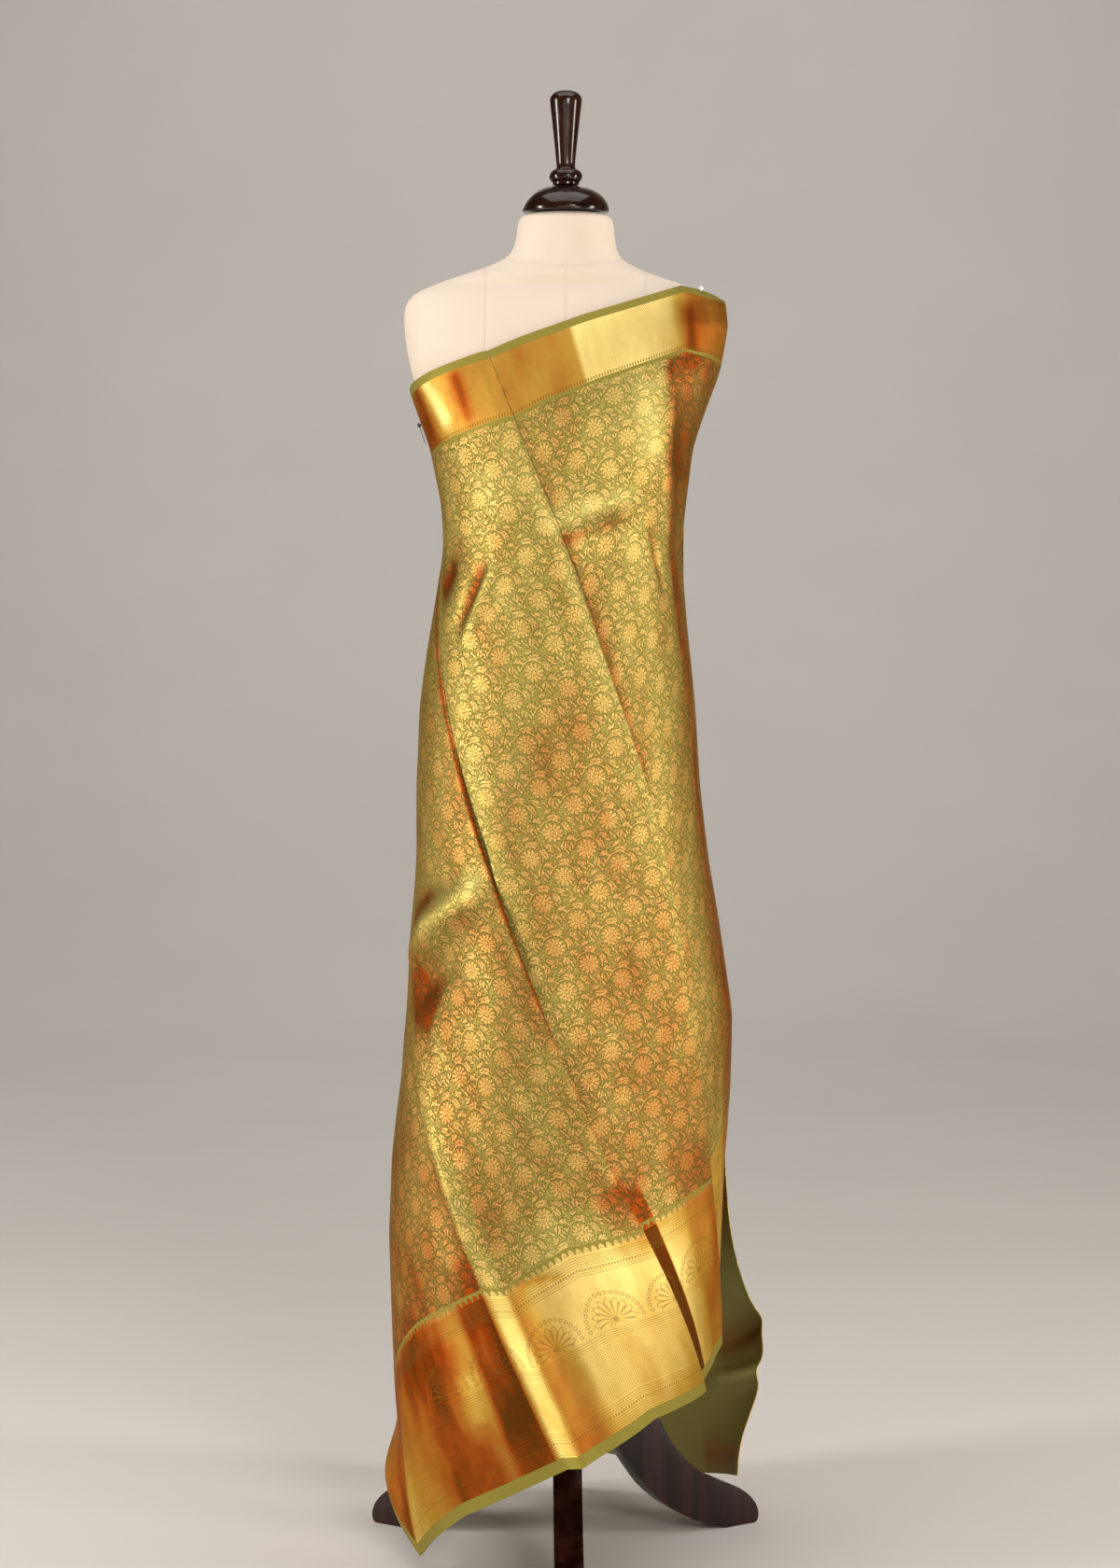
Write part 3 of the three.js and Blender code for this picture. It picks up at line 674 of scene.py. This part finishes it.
def along_stations(values, fall):
    """Values at five even stations down the cloth, joined by a smooth curve."""
    place = np.clip(fall, 0, 1) * 4
    i = np.minimum(place.astype(int), 3)
    t = place - i
    ends = [2 * values[0] - values[1], *values, 2 * values[4] - values[3]]
    a, b, c, d = (np.array(ends)[i + k] for k in range(4))
    return b + 0.5 * t * (c - a + t * (2 * a - 5 * b + 4 * c - d + t * (3 * (b - c) + d - a)))


print(len(GUIDES), "guide lines, hem facets:", sum(row[1] for row in GUIDES))

# %% [markdown]
# Between the guides lie the soft folds: buckles at hip and waist, a tuck under the bust, pulls below the
# arm. Each is a ridge or a hollow along a short line, placed from the photograph. Creases are
# sharper: marks where the saree lay folded in its packet. They bend the cloth by a few degrees, enough to
# split the gold border into bright and dark panels, which painted shade and sheen further on make stronger.

# %% Folds and creases
FOLDS = [
    # from round, from height, to round, to height, breadth, rise
    (-85, 790, -235, 705, 20, 12), (-130, 715, -225, 650, 24, -11), (-78, 1140, -118, 1060, 9, 4),
    (-94, 1140, -132, 1062, 7, -5), (-150, 1150, -165, 1100, 14, -5), (-22, 1180, 74, 1214, 10, 4.5),
    (-17, 1160, 80, 1193, 8, -4), (150, 1310, 172, 1120, 16, -6), (118, 1340, 134, 1180, 10, 4),
    (140, 1262, 170, 1225, 7, 3), (142, 1205, 176, 1180, 7, 3), (-135, 600, 42, 170, 20, -7),
    (-900, 258, -836, 200, 12, 11), (-905, 190, -836, 150, 12, -12),
]
CREASES = [
    # from round, from height, to round, to height, breadth, rise
    (-236, 690, 4, 160, 16, 4.5), (-190, 260, -118, 108, 30, 2.6), (-150, 356, -36, 150, 34, -3.2),
    (10, 420, 104, 205, 38, 4.0), (-64, 362, 6, 378, 7, -2.6), (0, 1404, 28, 1340, 8, 1.8),
    (-79, 1374, -57, 1304, 7, 1.5), (-99, 1368, -78, 1306, 7, 1.7), (96, 1184, 121, 1108, 7, -2.2),
    (60, 1340, 84, 1250, 8, 1.2), (-93, 1370, 22, 1045, 16, 3.0),
]
GATHERS = 7
GATHER_RISE = 6
BILLOWS = [
    # guide line, guides either side, how far down, reach, rise
    ("free_edge", 1.6, 0.88, 0.085, 46),
    ("left_side", 1.3, 0.985, 0.045, 24),
]


def near_line(row, round_mm, height_mm):
    """Share of the way along a short line, and the distance from it."""
    x0, y0, x1, y1 = row[:4]
    dx, dy = x1 - x0, y1 - y0
    t = ((round_mm - x0) * dx + (height_mm - y0) * dy) / (dx * dx + dy * dy)
    near = np.clip(t, 0, 1)
    return near, np.hypot(round_mm - x0 - near * dx, height_mm - y0 - near * dy)


def fold_rise(round_mm, height_mm):
    rise = np.zeros_like(round_mm)
    for row in FOLDS:
        near, away = near_line(row, round_mm, height_mm)
        rise += row[5] * np.exp(-((away / row[4]) ** 2)) * np.sin(np.pi * (0.12 + 0.76 * near))
    for row in CREASES:
        near, away = near_line(row, round_mm, height_mm)
        rise += row[5] * np.clip(1 - away / row[4], 0, 1) * np.sin(np.pi * (0.1 + 0.8 * near))
    return rise


def soft_waves(round_mm, height_mm):
    """Slow uneven waves, less than a millimetre high, that keep the satin from looking cast."""
    a = np.sin(round_mm / 31 + 1.4 * np.sin(height_mm / 140))
    b = np.sin(height_mm / 47 + 1.1 * np.sin(round_mm / 66))
    c = np.sin((round_mm + height_mm) / 23 + np.sin(height_mm / 90))
    return 0.34 * a + 0.3 * b + 0.16 * c


print(len(FOLDS), "soft folds and", len(CREASES), "creases")

# %% [markdown]
# Metal thread is pressed flat, so each panel mirrors the room its own way: one shows pale gold and the
# next a deep orange-brown, with a sharp change at the crease. That mirroring is painted into the colour:
# every point gets a value from minus one, painted shade, to one, painted sheen. One table follows the
# panels between the guides, and the other adds the painted shine and shade of single folds.

# %% Painted shade and sheen of the panels
PAINTED_LIGHT_FALLS = (0, 0.062, 0.072, 0.25, 0.5, 0.78, 0.84, 1)
PAINTED_PANEL_LIGHT = {
    # guide: share on, then painted light in tenths at top border, bodice, waist, hips, knees, border top,
    # hem edge
    "free_edge": [(0, -3, -3, -3, -4, 2, 1, 1)],
    "back_middle": [(0, 1, 0, 0, 0, 1, 2, 2)],
    "left_side": [(0, -6, -3, -3, -3, -6, -6, -5)],
    "left_corner": [(-0.06, -6, -4, -4, -4, -7, -10, -10), (0, -8, -6, -4, -4, -7, -10, 10),
        (0.25, -8, -6, -4, -3, -7, -10, 6), (0.6, -6, -5, -4, -3, -6, -12, 2),
        (0.96, -5, -3, -3, -2, -7, -12, -6)],
    "left_panel": [(0.04, -4, -3, -2, -2, -7, -11, -12), (0.58, -3, -2, -2, -1, -4, -2, -7),
        (0.66, -3, -2, -2, -1, -4, -11, -11)],
    "ridge": [(-0.06, -3, -2, -2, -1, -6, -12, -12), (-0.01, -3, -2, -2, 0, 3, 6, 9)],
    "ridge_foot": [(0, -3, -2, -1, 0, 1, 8, 4), (0.08, -3, -2, -1, 0, -2, -2, -8),
        (0.4, -3, -2, -1, 0, -2, 5, -6), (0.62, -3, -2, -1, 0, -2, 9, 2)],
    "middle_panel": [(0.02, -3, -1, 0, -1, -1, 10, 5), (0.16, -3, -1, 0, -1, -1, 9, 2),
        (1, 0, -2, -1, -3, -1, 8, 0)],
    "left_fold": [(-0.84, 0, -2, 0, -1, 0, -2, 0), (-0.14, 0, -2, -2, -3, -3, 0, 1),
        (0, 0, -2, -10, -11, -6, 6, 3)],
    "left_fold_back": [(-0.5, 0, -2, -10, -11, -9, -12, -12)],
    "left_tuck_out": [(0, 0, -2, 5, 4, -3, -16, -16)],
    "inner_crease": [(0, -6, -1, 4, 2, -3, -15, -16), (0.06, -6, 0, 2, 1, -3, 12, 7),
        (0.5, -8, 0, 1, -2, -3, 6, 3), (0.72, -9, 0, 1, -2, -3, 3, 3)],
    "right_panel": [(0, -2, 1, 1, -2, -5, -2, -3)],
    "right_fold": [(-0.16, -2, 1, 2, -1, -5, -7, -6), (0, -2, 4, 9, 4, -4, -6, -5)],
    "right_tuck_out": [(0, -2, -2, -6, -9, -10, -10, -10)],
    "side_front": [(-0.6, -2, 0, 0, -1, -3, 3, 1), (0, -2, 0, 3, 1, -1, 4, 3)],
    "side_bust": [(-0.28, -1, 1, 3, 1, -2, 1, 1), (-0.2, 12, 2, 3, 0, -4, -4, 1),
        (0.55, 12, 4, 2, -5, -9, -5, -2)],
    "side_arm": [(-0.3, 10, 4, 0, -8, -9, -6, -4), (-0.2, 9, -7, -7, -9, -10, -6, -4),
        (0.1, -6, -8, -6, -6, -6, -6, -4)],
    "shoulder_back": [(0, 0, -2, -2, -3, -3, -2, -2)],
    "inner_end": [(0, 0, 0, 0, 0, 0, 0, 0)],
}
PAINTED_SHINE_AND_SHADE = [
    # from round, from height, to round, to height, breadth, painted light (minus is painted shade)
    (84, 1345, 104, 1245, 22, 0.8), (-174, 1345, -138, 1285, 11, 1.6),
    (-128, 1350, -108, 1290, 9, -0.8), (-22, 1182, 70, 1214, 12, 1.1), (-15, 1160, 78, 1191, 6, -0.7),
    (-60, 1240, -100, 1200, 34, 0.35), (-80, 1140, -118, 1062, 6, 0.6),
    (-96, 1140, -133, 1062, 6, -0.9), (-146, 1140, -172, 1100, 16, -1.3),
    (-88, 800, -196, 732, 13, 1.2), (-170, 770, -232, 742, 12, -0.9), (-236, 672, -160, 640, 32, -1.3),
    (-116, 262, -92, 205, 16, 0.8), (-60, 360, 2, 374, 4, -0.8), (97, 1182, 121, 1108, 3.5, -0.7),
    (40, 470, 106, 405, 26, -0.8), (0, 980, 20, 900, 46, -0.35), (128, 1425, 150, 1350, 10, -0.8),
    (-886, 340, -872, 262, 24, 0.7), (-900, 240, -826, 190, 20, -0.9), (-905, 190, -836, 156, 5, 1.3),
    (-900, 80, -836, 66, 22, -1.0),
]


def painted_light_of_panels(spans, falls, round_mm, height_mm):
    """Painted reflection: minus one, painted shade, where the silk would mirror the dark of the room, one,
    painted sheen, where it would mirror a lamp.
    """
    knots = [NUMBER[name] + row[0] for name, rows in PAINTED_PANEL_LIGHT.items() for row in rows]
    columns = np.array([row[1:2] + row[1:] for rows in PAINTED_PANEL_LIGHT.values() for row in rows]) / 10
    by_span = np.array([np.interp(spans, knots, column) for column in columns.T])
    tone = np.array([np.interp(falls, PAINTED_LIGHT_FALLS, values) for values in by_span.T])
    for row in PAINTED_SHINE_AND_SHADE:
        near, away = near_line(row, round_mm, height_mm)
        ends = np.minimum(1, 5 * np.minimum(near, 1 - near) + 0.3)
        tone += row[5] * ends * np.exp(-((away / row[4]) ** 2))
    return tone


print("tones along", len(PAINTED_PANEL_LIGHT), "guides and", len(PAINTED_SHINE_AND_SHADE), "spots of shine and shade")


# %% Where each point of the cloth hangs
def drape(spans, falls):
    """Points of the cloth, in millimetres from the pole's foot, and their painted shade and sheen: spans
    across, falls down.
    """
    first = np.minimum(spans.astype(int), len(GUIDES) - 2)
    t = (spans - first)[:, None]
    rounds = np.array([along_stations(row[2:7], falls) for row in GUIDES])
    lifts = np.array([along_stations(row[9:] or (0,) * 5, falls) for row in GUIDES])
    heights = np.array([row[7] + (row[8] - row[7]) * falls for row in GUIDES])
    ease = t * t * (3 - 2 * t)
    round_mm = rounds[first] * (1 - t) + rounds[first + 1] * t
    height = heights[first] * (1 - t) + heights[first + 1] * t
    lift = lifts[first] * (1 - ease) + lifts[first + 1] * ease
    across = spans[:, None]
    before = np.clip((NUMBER["left_fold"] - across) * 4, 0, 1)
    between = np.clip(2 * np.minimum(across - NUMBER["left_tuck_out"], NUMBER["right_fold"] - across), 0, 1)
    after = np.clip(across - NUMBER["right_tuck_out"], 0, 1)
    lift = lift + (fold_rise(round_mm, height) + soft_waves(round_mm, height)) * (before + between + after)
    gathered = np.clip(across / NUMBER["ridge"], 0, 1)
    wave = np.sin(np.pi * GATHERS * gathered) ** 2 * np.sin(np.pi * gathered)
    lift = lift + GATHER_RISE * wave * (1 - falls) ** 1.5
    for guide, breadth, fall, reach, rise in BILLOWS:
        share = np.clip(1 - np.abs(across - NUMBER[guide]) / breadth, 0, 1)
        lift = lift + rise * share * share * (3 - 2 * share) * np.exp(-(((falls - fall) / reach) ** 2))
    return on_outline(round_mm, height, lift), painted_light_of_panels(spans, falls, round_mm, height)


FINE_GUIDES = range(NUMBER["ridge"], NUMBER["shoulder"])
ROWS = 240
falls_down = np.linspace(0, 1, ROWS + 1)
all_spans = [0.0]
for i in range(1, len(GUIDES)):
    steps = GUIDES[i][1] * (2 if i in FINE_GUIDES else 1)
    all_spans += [i - 1 + k / steps for k in range(1, steps + 1)]
all_spans = np.array(all_spans)
all_points, all_painted_light = drape(all_spans, falls_down)
woven_u = np.zeros(all_points.shape[:2])
woven_u[1:] = np.cumsum(np.linalg.norm(np.diff(all_points, axis=0), axis=2), axis=0)
start = int(np.argmin(np.abs(all_spans - NUMBER["left_fold"])))
woven_u -= woven_u[start]
print("cloth round the form at the hem:", round(float(np.ptp(woven_u[:, -1]))), "mm")

# %% [markdown]
# Each stretch starts as a flat grid with its woven place as UV, and is then carried onto the drape. Cloth
# simulation was left out: the folds have known places, and stiff silk keeps its creases, which a
# simulation would smooth away. Solidify gives the wall its thickness and the wrong side its own finish.

# %% Making one stretch of cloth
CLOTH_THICKNESS = 0.9 * MM
STRETCHES = [
    # name, first guide, last guide
    ("back", "free_edge", "left_side"),
    ("front_left", "left_side", "left_tuck"),
    ("front_middle", "left_tuck_out", "right_tuck"),
    ("right_side", "right_tuck_out", "inner_end"),
]


def woven_sheet(name, first, last):
    keep = (all_spans >= NUMBER[first] - 1e-6) & (all_spans <= NUMBER[last] + 1e-6)
    points, woven, tones = all_points[keep], woven_u[keep], all_painted_light[keep]
    columns, rows = points.shape[:2]
    start_clean()
    bpy.ops.mesh.primitive_grid_add(x_subdivisions=columns - 1, y_subdivisions=rows - 1, size=2)
    piece = bpy.context.object
    piece.name = "saree_" + name
    mesh = piece.data
    flat = np.empty(len(mesh.vertices) * 3)
    mesh.vertices.foreach_get("co", flat)
    column = np.rint((flat[0::3] + 1) / 2 * (columns - 1)).astype(int)
    row = np.rint((1 - flat[1::3]) / 2 * (rows - 1)).astype(int)
    placed = points[column, row] * MM + np.array([POLE_X, POLE_Y, 0])
    mesh.vertices.foreach_set("co", placed.ravel())
    corner = np.empty(len(mesh.loops), int)
    mesh.loops.foreach_get("vertex_index", corner)
    uv = np.stack([woven[column, row], falls_down[row] * CLOTH_WIDTH_MM], axis=1) * MM
    mesh.uv_layers.active.name = "woven"
    mesh.uv_layers["woven"].data.foreach_set("uv", uv[corner].ravel())
    # The attribute carries the painted sheen and shade of each point, which both silk finishes read.
    tone = mesh.attributes.new("painted_sheen_and_shade", "FLOAT", "POINT")
    tone.data.foreach_set("value", tones[column, row])
    mesh.update()
    mesh.materials.append(silk)
    mesh.materials.append(reverse)
    wall = piece.modifiers.new("wall", "SOLIDIFY")
    wall.thickness = CLOTH_THICKNESS
    wall.offset = 0
    wall.material_offset = 1
    bpy.ops.object.modifier_apply(modifier="wall")
    smooth(48)
    return piece, float(np.mean(woven[-1] - woven[0])) * MM


bands_of_cloth = ("top_border", "body", "hem_border")
for name, first, last in STRETCHES:
    piece, width = woven_sheet(name, first, last)
    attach(piece, "root")
    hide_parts(*(f"saree_{name}_{part}" for part in bands_of_cloth))
    print(piece.name, "is", round(width, 3), "m wide with", len(piece.data.polygons), "faces")

# %% [markdown]
# The torso has the right shape already, but its mesh is loose triangles with flat sides. A copy is merged
# into one skin and subdivided, which rounds the shoulders and the neck, and the copy takes its place.

# %% Padded form
def smooth_copy(node, name, levels):
    """A merged copy of a node's mesh, subdivided, under a new name."""
    start_clean()
    piece = bpy.data.objects.new(name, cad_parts[node].data.copy())
    bpy.context.scene.collection.objects.link(piece)
    bpy.context.view_layer.objects.active = piece
    piece.select_set(True)
    piece.data.materials.clear()
    mode("EDIT")
    select_all()
    bpy.ops.mesh.remove_doubles(threshold=MERGE_REACH)
    bpy.ops.mesh.tris_convert_to_quads(face_threshold=math.radians(60), shape_threshold=math.radians(60))
    mode("OBJECT")
    if levels:
        rounder = piece.modifiers.new("rounder", "SUBSURF")
        rounder.levels = levels
        rounder.render_levels = levels
        bpy.ops.object.modifier_apply(modifier="rounder")
    smooth(60)
    return piece


form = smooth_copy("form_torso", "form_cover", 2)
form.data.materials.append(cotton)
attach(form, "root")
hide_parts("form_torso")
print("form cover has", len(form.data.polygons), "faces")

# %% [markdown]
# Two dressmaker's pins hold the top edge: a pearl-headed one on the shoulder and a dark one under the
# other arm. Each is a thin cylinder and a small sphere joined into one piece, pushed in at a slant.

# %% Finish: glass pin heads
def pin_finish(name, low, high):
    finish, shader = new_finish(name)
    where = object_place()
    fill(shader, Base_Color=mix(noise(where, 900.0), low, high), Coat_Weight=0.5,
         Roughness=times_plus(noise(where, 1500.0), 0.1, 0.12))
    return finish


PIN_SHAFT = 0.024
PIN_RADIUS = 0.0004
PIN_RISE = 1.25
PIN_SLANT = 0.32
PINS = [
    # name, round, height, head radius, finish
    ("pin_pearl", 152, 1440, 2.6, pin_finish("pearl_glass", (0.8, 0.78, 0.74, 1), (0.95, 0.94, 0.92, 1))),
    ("pin_dark", -209, 1290, 2.2, pin_finish("dark_glass", (0.012, 0.01, 0.012, 1), (0.03, 0.026, 0.03, 1))),
]
for name, round_mm, height_mm, radius, finish in PINS:
    spot = np.array(float(round_mm)), np.array(float(height_mm))
    near, far = (on_outline(*spot, lift) * MM for lift in (7, 8))
    out = (far - near) / np.linalg.norm(far - near)
    head = near + np.array([POLE_X, POLE_Y, 0])
    down_shaft = np.array([math.sin(PIN_SLANT) * out[0], math.sin(PIN_SLANT) * out[1], 0.95])
    start_clean()
    bpy.ops.mesh.primitive_cylinder_add(vertices=10, radius=PIN_RADIUS, depth=PIN_SHAFT)
    piece = bpy.context.object
    piece.name = name
    piece.rotation_euler = (0, math.pi / 2 - PIN_RISE, math.atan2(float(out[1]), float(out[0])))
    piece.location = head - 0.35 * PIN_SHAFT * down_shaft
    bpy.ops.object.transform_apply()
    mode("EDIT")
    bpy.ops.mesh.primitive_uv_sphere_add(segments=20, ring_count=12, radius=radius * MM, location=head)
    mode("OBJECT")
    smooth(40)
    piece.data.materials.append(finish)
    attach(piece, "root")
    print(name, "head at", np.round(head, 3))

# %% [markdown]
# Neck cap, finial, pole and hub are turned on a lathe. The spin operator does the same: a profile is
# drawn as a chain of edges and swept round the upright axis. Small beads and hollows are what make
# turned work read as turned.

# %% Turned wood
SPIN_STEPS = 64


def wooden(piece, node, angle):
    smooth(angle)
    piece.data.materials.append(wood)
    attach(piece, "root")
    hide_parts(node)
    print(piece.name, len(piece.data.polygons), "faces")


def turned(node, profile):
    """Turned wood from (radius, height) pairs in metres, foot to top."""
    start_clean()
    bpy.ops.mesh.primitive_circle_add(vertices=3, radius=0.01, fill_type="NOTHING")
    piece = bpy.context.object
    piece.name = node + "_turned"
    bpy.context.tool_settings.mesh_select_mode = (True, False, False)
    mode("EDIT")
    select_all()
    bpy.ops.mesh.merge(type="CENTER")
    mode("OBJECT")
    piece.data.vertices[0].co = (POLE_X + profile[0][0], POLE_Y, profile[0][1])
    mode("EDIT")
    for last, spot in zip(profile, profile[1:]):
        way = (spot[0] - last[0], 0, spot[1] - last[1])
        bpy.ops.mesh.extrude_region_move(TRANSFORM_OT_translate={"value": way})
    select_all()
    bpy.ops.mesh.spin(steps=SPIN_STEPS, angle=2 * math.pi, center=(POLE_X, POLE_Y, 0), axis=(0, 0, 1))
    select_all()
    bpy.ops.mesh.remove_doubles(threshold=MERGE_REACH)
    bpy.ops.mesh.normals_make_consistent(inside=False)
    mode("OBJECT")
    bpy.ops.object.transform_apply()
    wooden(piece, node, 34)


def raised(height, *pairs):
    """(radius, rise) pairs in millimetres, as places in metres above a height."""
    return [(radius * MM, height + rise * MM) for radius, rise in pairs]


cap_low, cap_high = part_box("neck_cap")
CAP_RADIUS = (cap_high.x - cap_low.x) / 2
DOME_FOOT = cap_low.z + 0.0012
cap_profile = [(0, cap_low.z), (CAP_RADIUS * 0.975, cap_low.z)]
cap_profile += [(CAP_RADIUS * math.cos(a) ** 0.8, DOME_FOOT + (cap_high.z - DOME_FOOT) * math.sin(a))
                for a in np.linspace(0.04, 1.4, 18)]
turned("neck_cap", cap_profile + [(0, cap_high.z)])

top_low, top_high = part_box("neck_finial")
foot, TOP = top_low.z, top_high.z
HEAD_RISE = 0.0105
finial_profile = raised(foot, (0, 0), (12.5, 0), (15, 1.5), (15, 3.5))
finial_profile += [(0.0108 + 0.0078 * math.cos(a), foot + 0.0102 + 0.0078 * math.sin(a))
                   for a in np.radians(np.linspace(-56, 70, 9))]
finial_profile += raised(foot, (11.6, 18.5), (10.6, 20.5), (10.8, 26))
finial_profile += [(0.0108 + 0.0073 * t ** 1.1, foot + 0.026 + 0.066 * t)
                   for t in np.linspace(0.1, 1, 10)]
finial_profile += [(0.0182 * math.cos(a) ** 0.75, TOP - HEAD_RISE + HEAD_RISE * math.sin(a))
                   for a in np.linspace(0.12, 1.5, 12)]
turned("neck_finial", finial_profile + [(0, TOP)])

pole_profile = raised(pole_low.z, (0, 0), (26, 0), (26, 6), (22.5, 10), (23.5, 15), (19, 20), (17.5, 28))
pole_profile += raised(pole_high.z, (17.5, -14), (18.5, -12), (29, -8), (30, -6), (30, 0), (0, 0))
turned("stand_pole", pole_profile)

hub_low, hub_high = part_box("stand_hub")
hub_profile = raised(hub_low.z, (0, 0), (7, 0), (9.8, 2), (20, 8), (33.5, 17), (34, 19))
hub_profile += raised(hub_high.z, (34, -13), (33.5, -11), (29, -2), (27.5, 0), (0, 0))
turned("stand_hub", hub_profile)

# %% [markdown]
# The legs are curved planks. Their sawn outline is right in the model, so a merged copy keeps it, and
# a bevel along every sharp edge gives the soft arris that catches the light on real woodwork.

# %% Curved legs
for node in ("leg_front", "leg_right", "leg_left"):
    piece = smooth_copy(node, node + "_sawn", 0)
    arris = piece.modifiers.new("arris", "BEVEL")
    arris.width = 0.0024
    arris.segments = 3
    arris.limit_method = "ANGLE"
    arris.angle_limit = math.radians(50)
    bpy.ops.object.modifier_apply(modifier="arris")
    wooden(piece, node, 30)

# %% [markdown]
# Metal thread shows what it mirrors, so satin needs bright panels in a darker room. The main light is an
# umbrella right of the camera, and a tall strip stands at each side. Weaker panels fill from below and in
# front, one overhead lights the floor, and two behind light the wall and the back. The world is a dim
# warm glow.

# %% Light
AIM = (0.0, 0.0, 0.85)
WALL = (0.0, 9.0, 2.6)
LIGHTS = [
    # name, place, aim, size, power, colour
    ("key_umbrella", (1.15, -3.4, 1.9), AIM, (0.9, 0.9), 48, (1.0, 0.97, 0.91)),
    ("left_strip", (-2.9, -0.95, 1.2), AIM, (0.5, 1.8), 84, (1.0, 0.96, 0.88)),
    ("right_strip", (2.9, -0.8, 1.0), AIM, (0.5, 1.8), 58, (1.0, 0.93, 0.82)),
    ("low_fill", (1.7, -2.7, 0.45), AIM, (0.7, 0.5), 14, (1.0, 0.96, 0.88)),
    ("overhead_panel", (0.0, -0.6, 4.2), AIM, (4.0, 3.2), 95, (1.0, 0.99, 0.97)),
    ("front_glow", (-0.5, -4.6, 1.0), AIM, (2.0, 1.4), 12, (1.0, 0.97, 0.92)),
    ("wall_wash", (0.0, 3.0, 4.6), WALL, (5.0, 1.2), 110, (1.0, 0.98, 0.95)),
    ("back_panel", (-1.4, 3.4, 2.6), AIM, (1.6, 1.6), 9, (1.0, 0.97, 0.92)),
]
for name, spot, aim, size, power, colour in LIGHTS:
    lamp = bpy.data.lights.new(name, "AREA")
    lamp.shape = "RECTANGLE"
    (lamp.size, lamp.size_y), lamp.energy, lamp.color = size, power, colour
    holder = bpy.data.objects.new(name, lamp)
    bpy.context.scene.collection.objects.link(holder)
    holder.location = spot
    x, y, z = (spot[i] - aim[i] for i in range(3))
    holder.rotation_euler = (math.atan2(math.hypot(x, y), z), 0, math.atan2(y, x) + math.pi / 2)

world = bpy.data.worlds.new("studio_world")
bpy.context.scene.world = world
world.use_nodes = True
desk["tree"] = world.node_tree
glow = world.node_tree.nodes["Background"]
fill(glow, Color=(0.95, 0.68, 0.46, 1), Strength=0.12)
seen = add_node("ShaderNodeBackground", {"Color": (0.52, 0.5, 0.48, 1)})
for_camera = add_node("ShaderNodeLightPath").outputs["Is Camera Ray"]
share = add_node("ShaderNodeMixShader", {0: for_camera, 1: glow.outputs[0], 2: seen.outputs[0]})
fill(world.node_tree.nodes["World Output"], Surface=share.outputs[0])
print(len(LIGHTS), "lights")
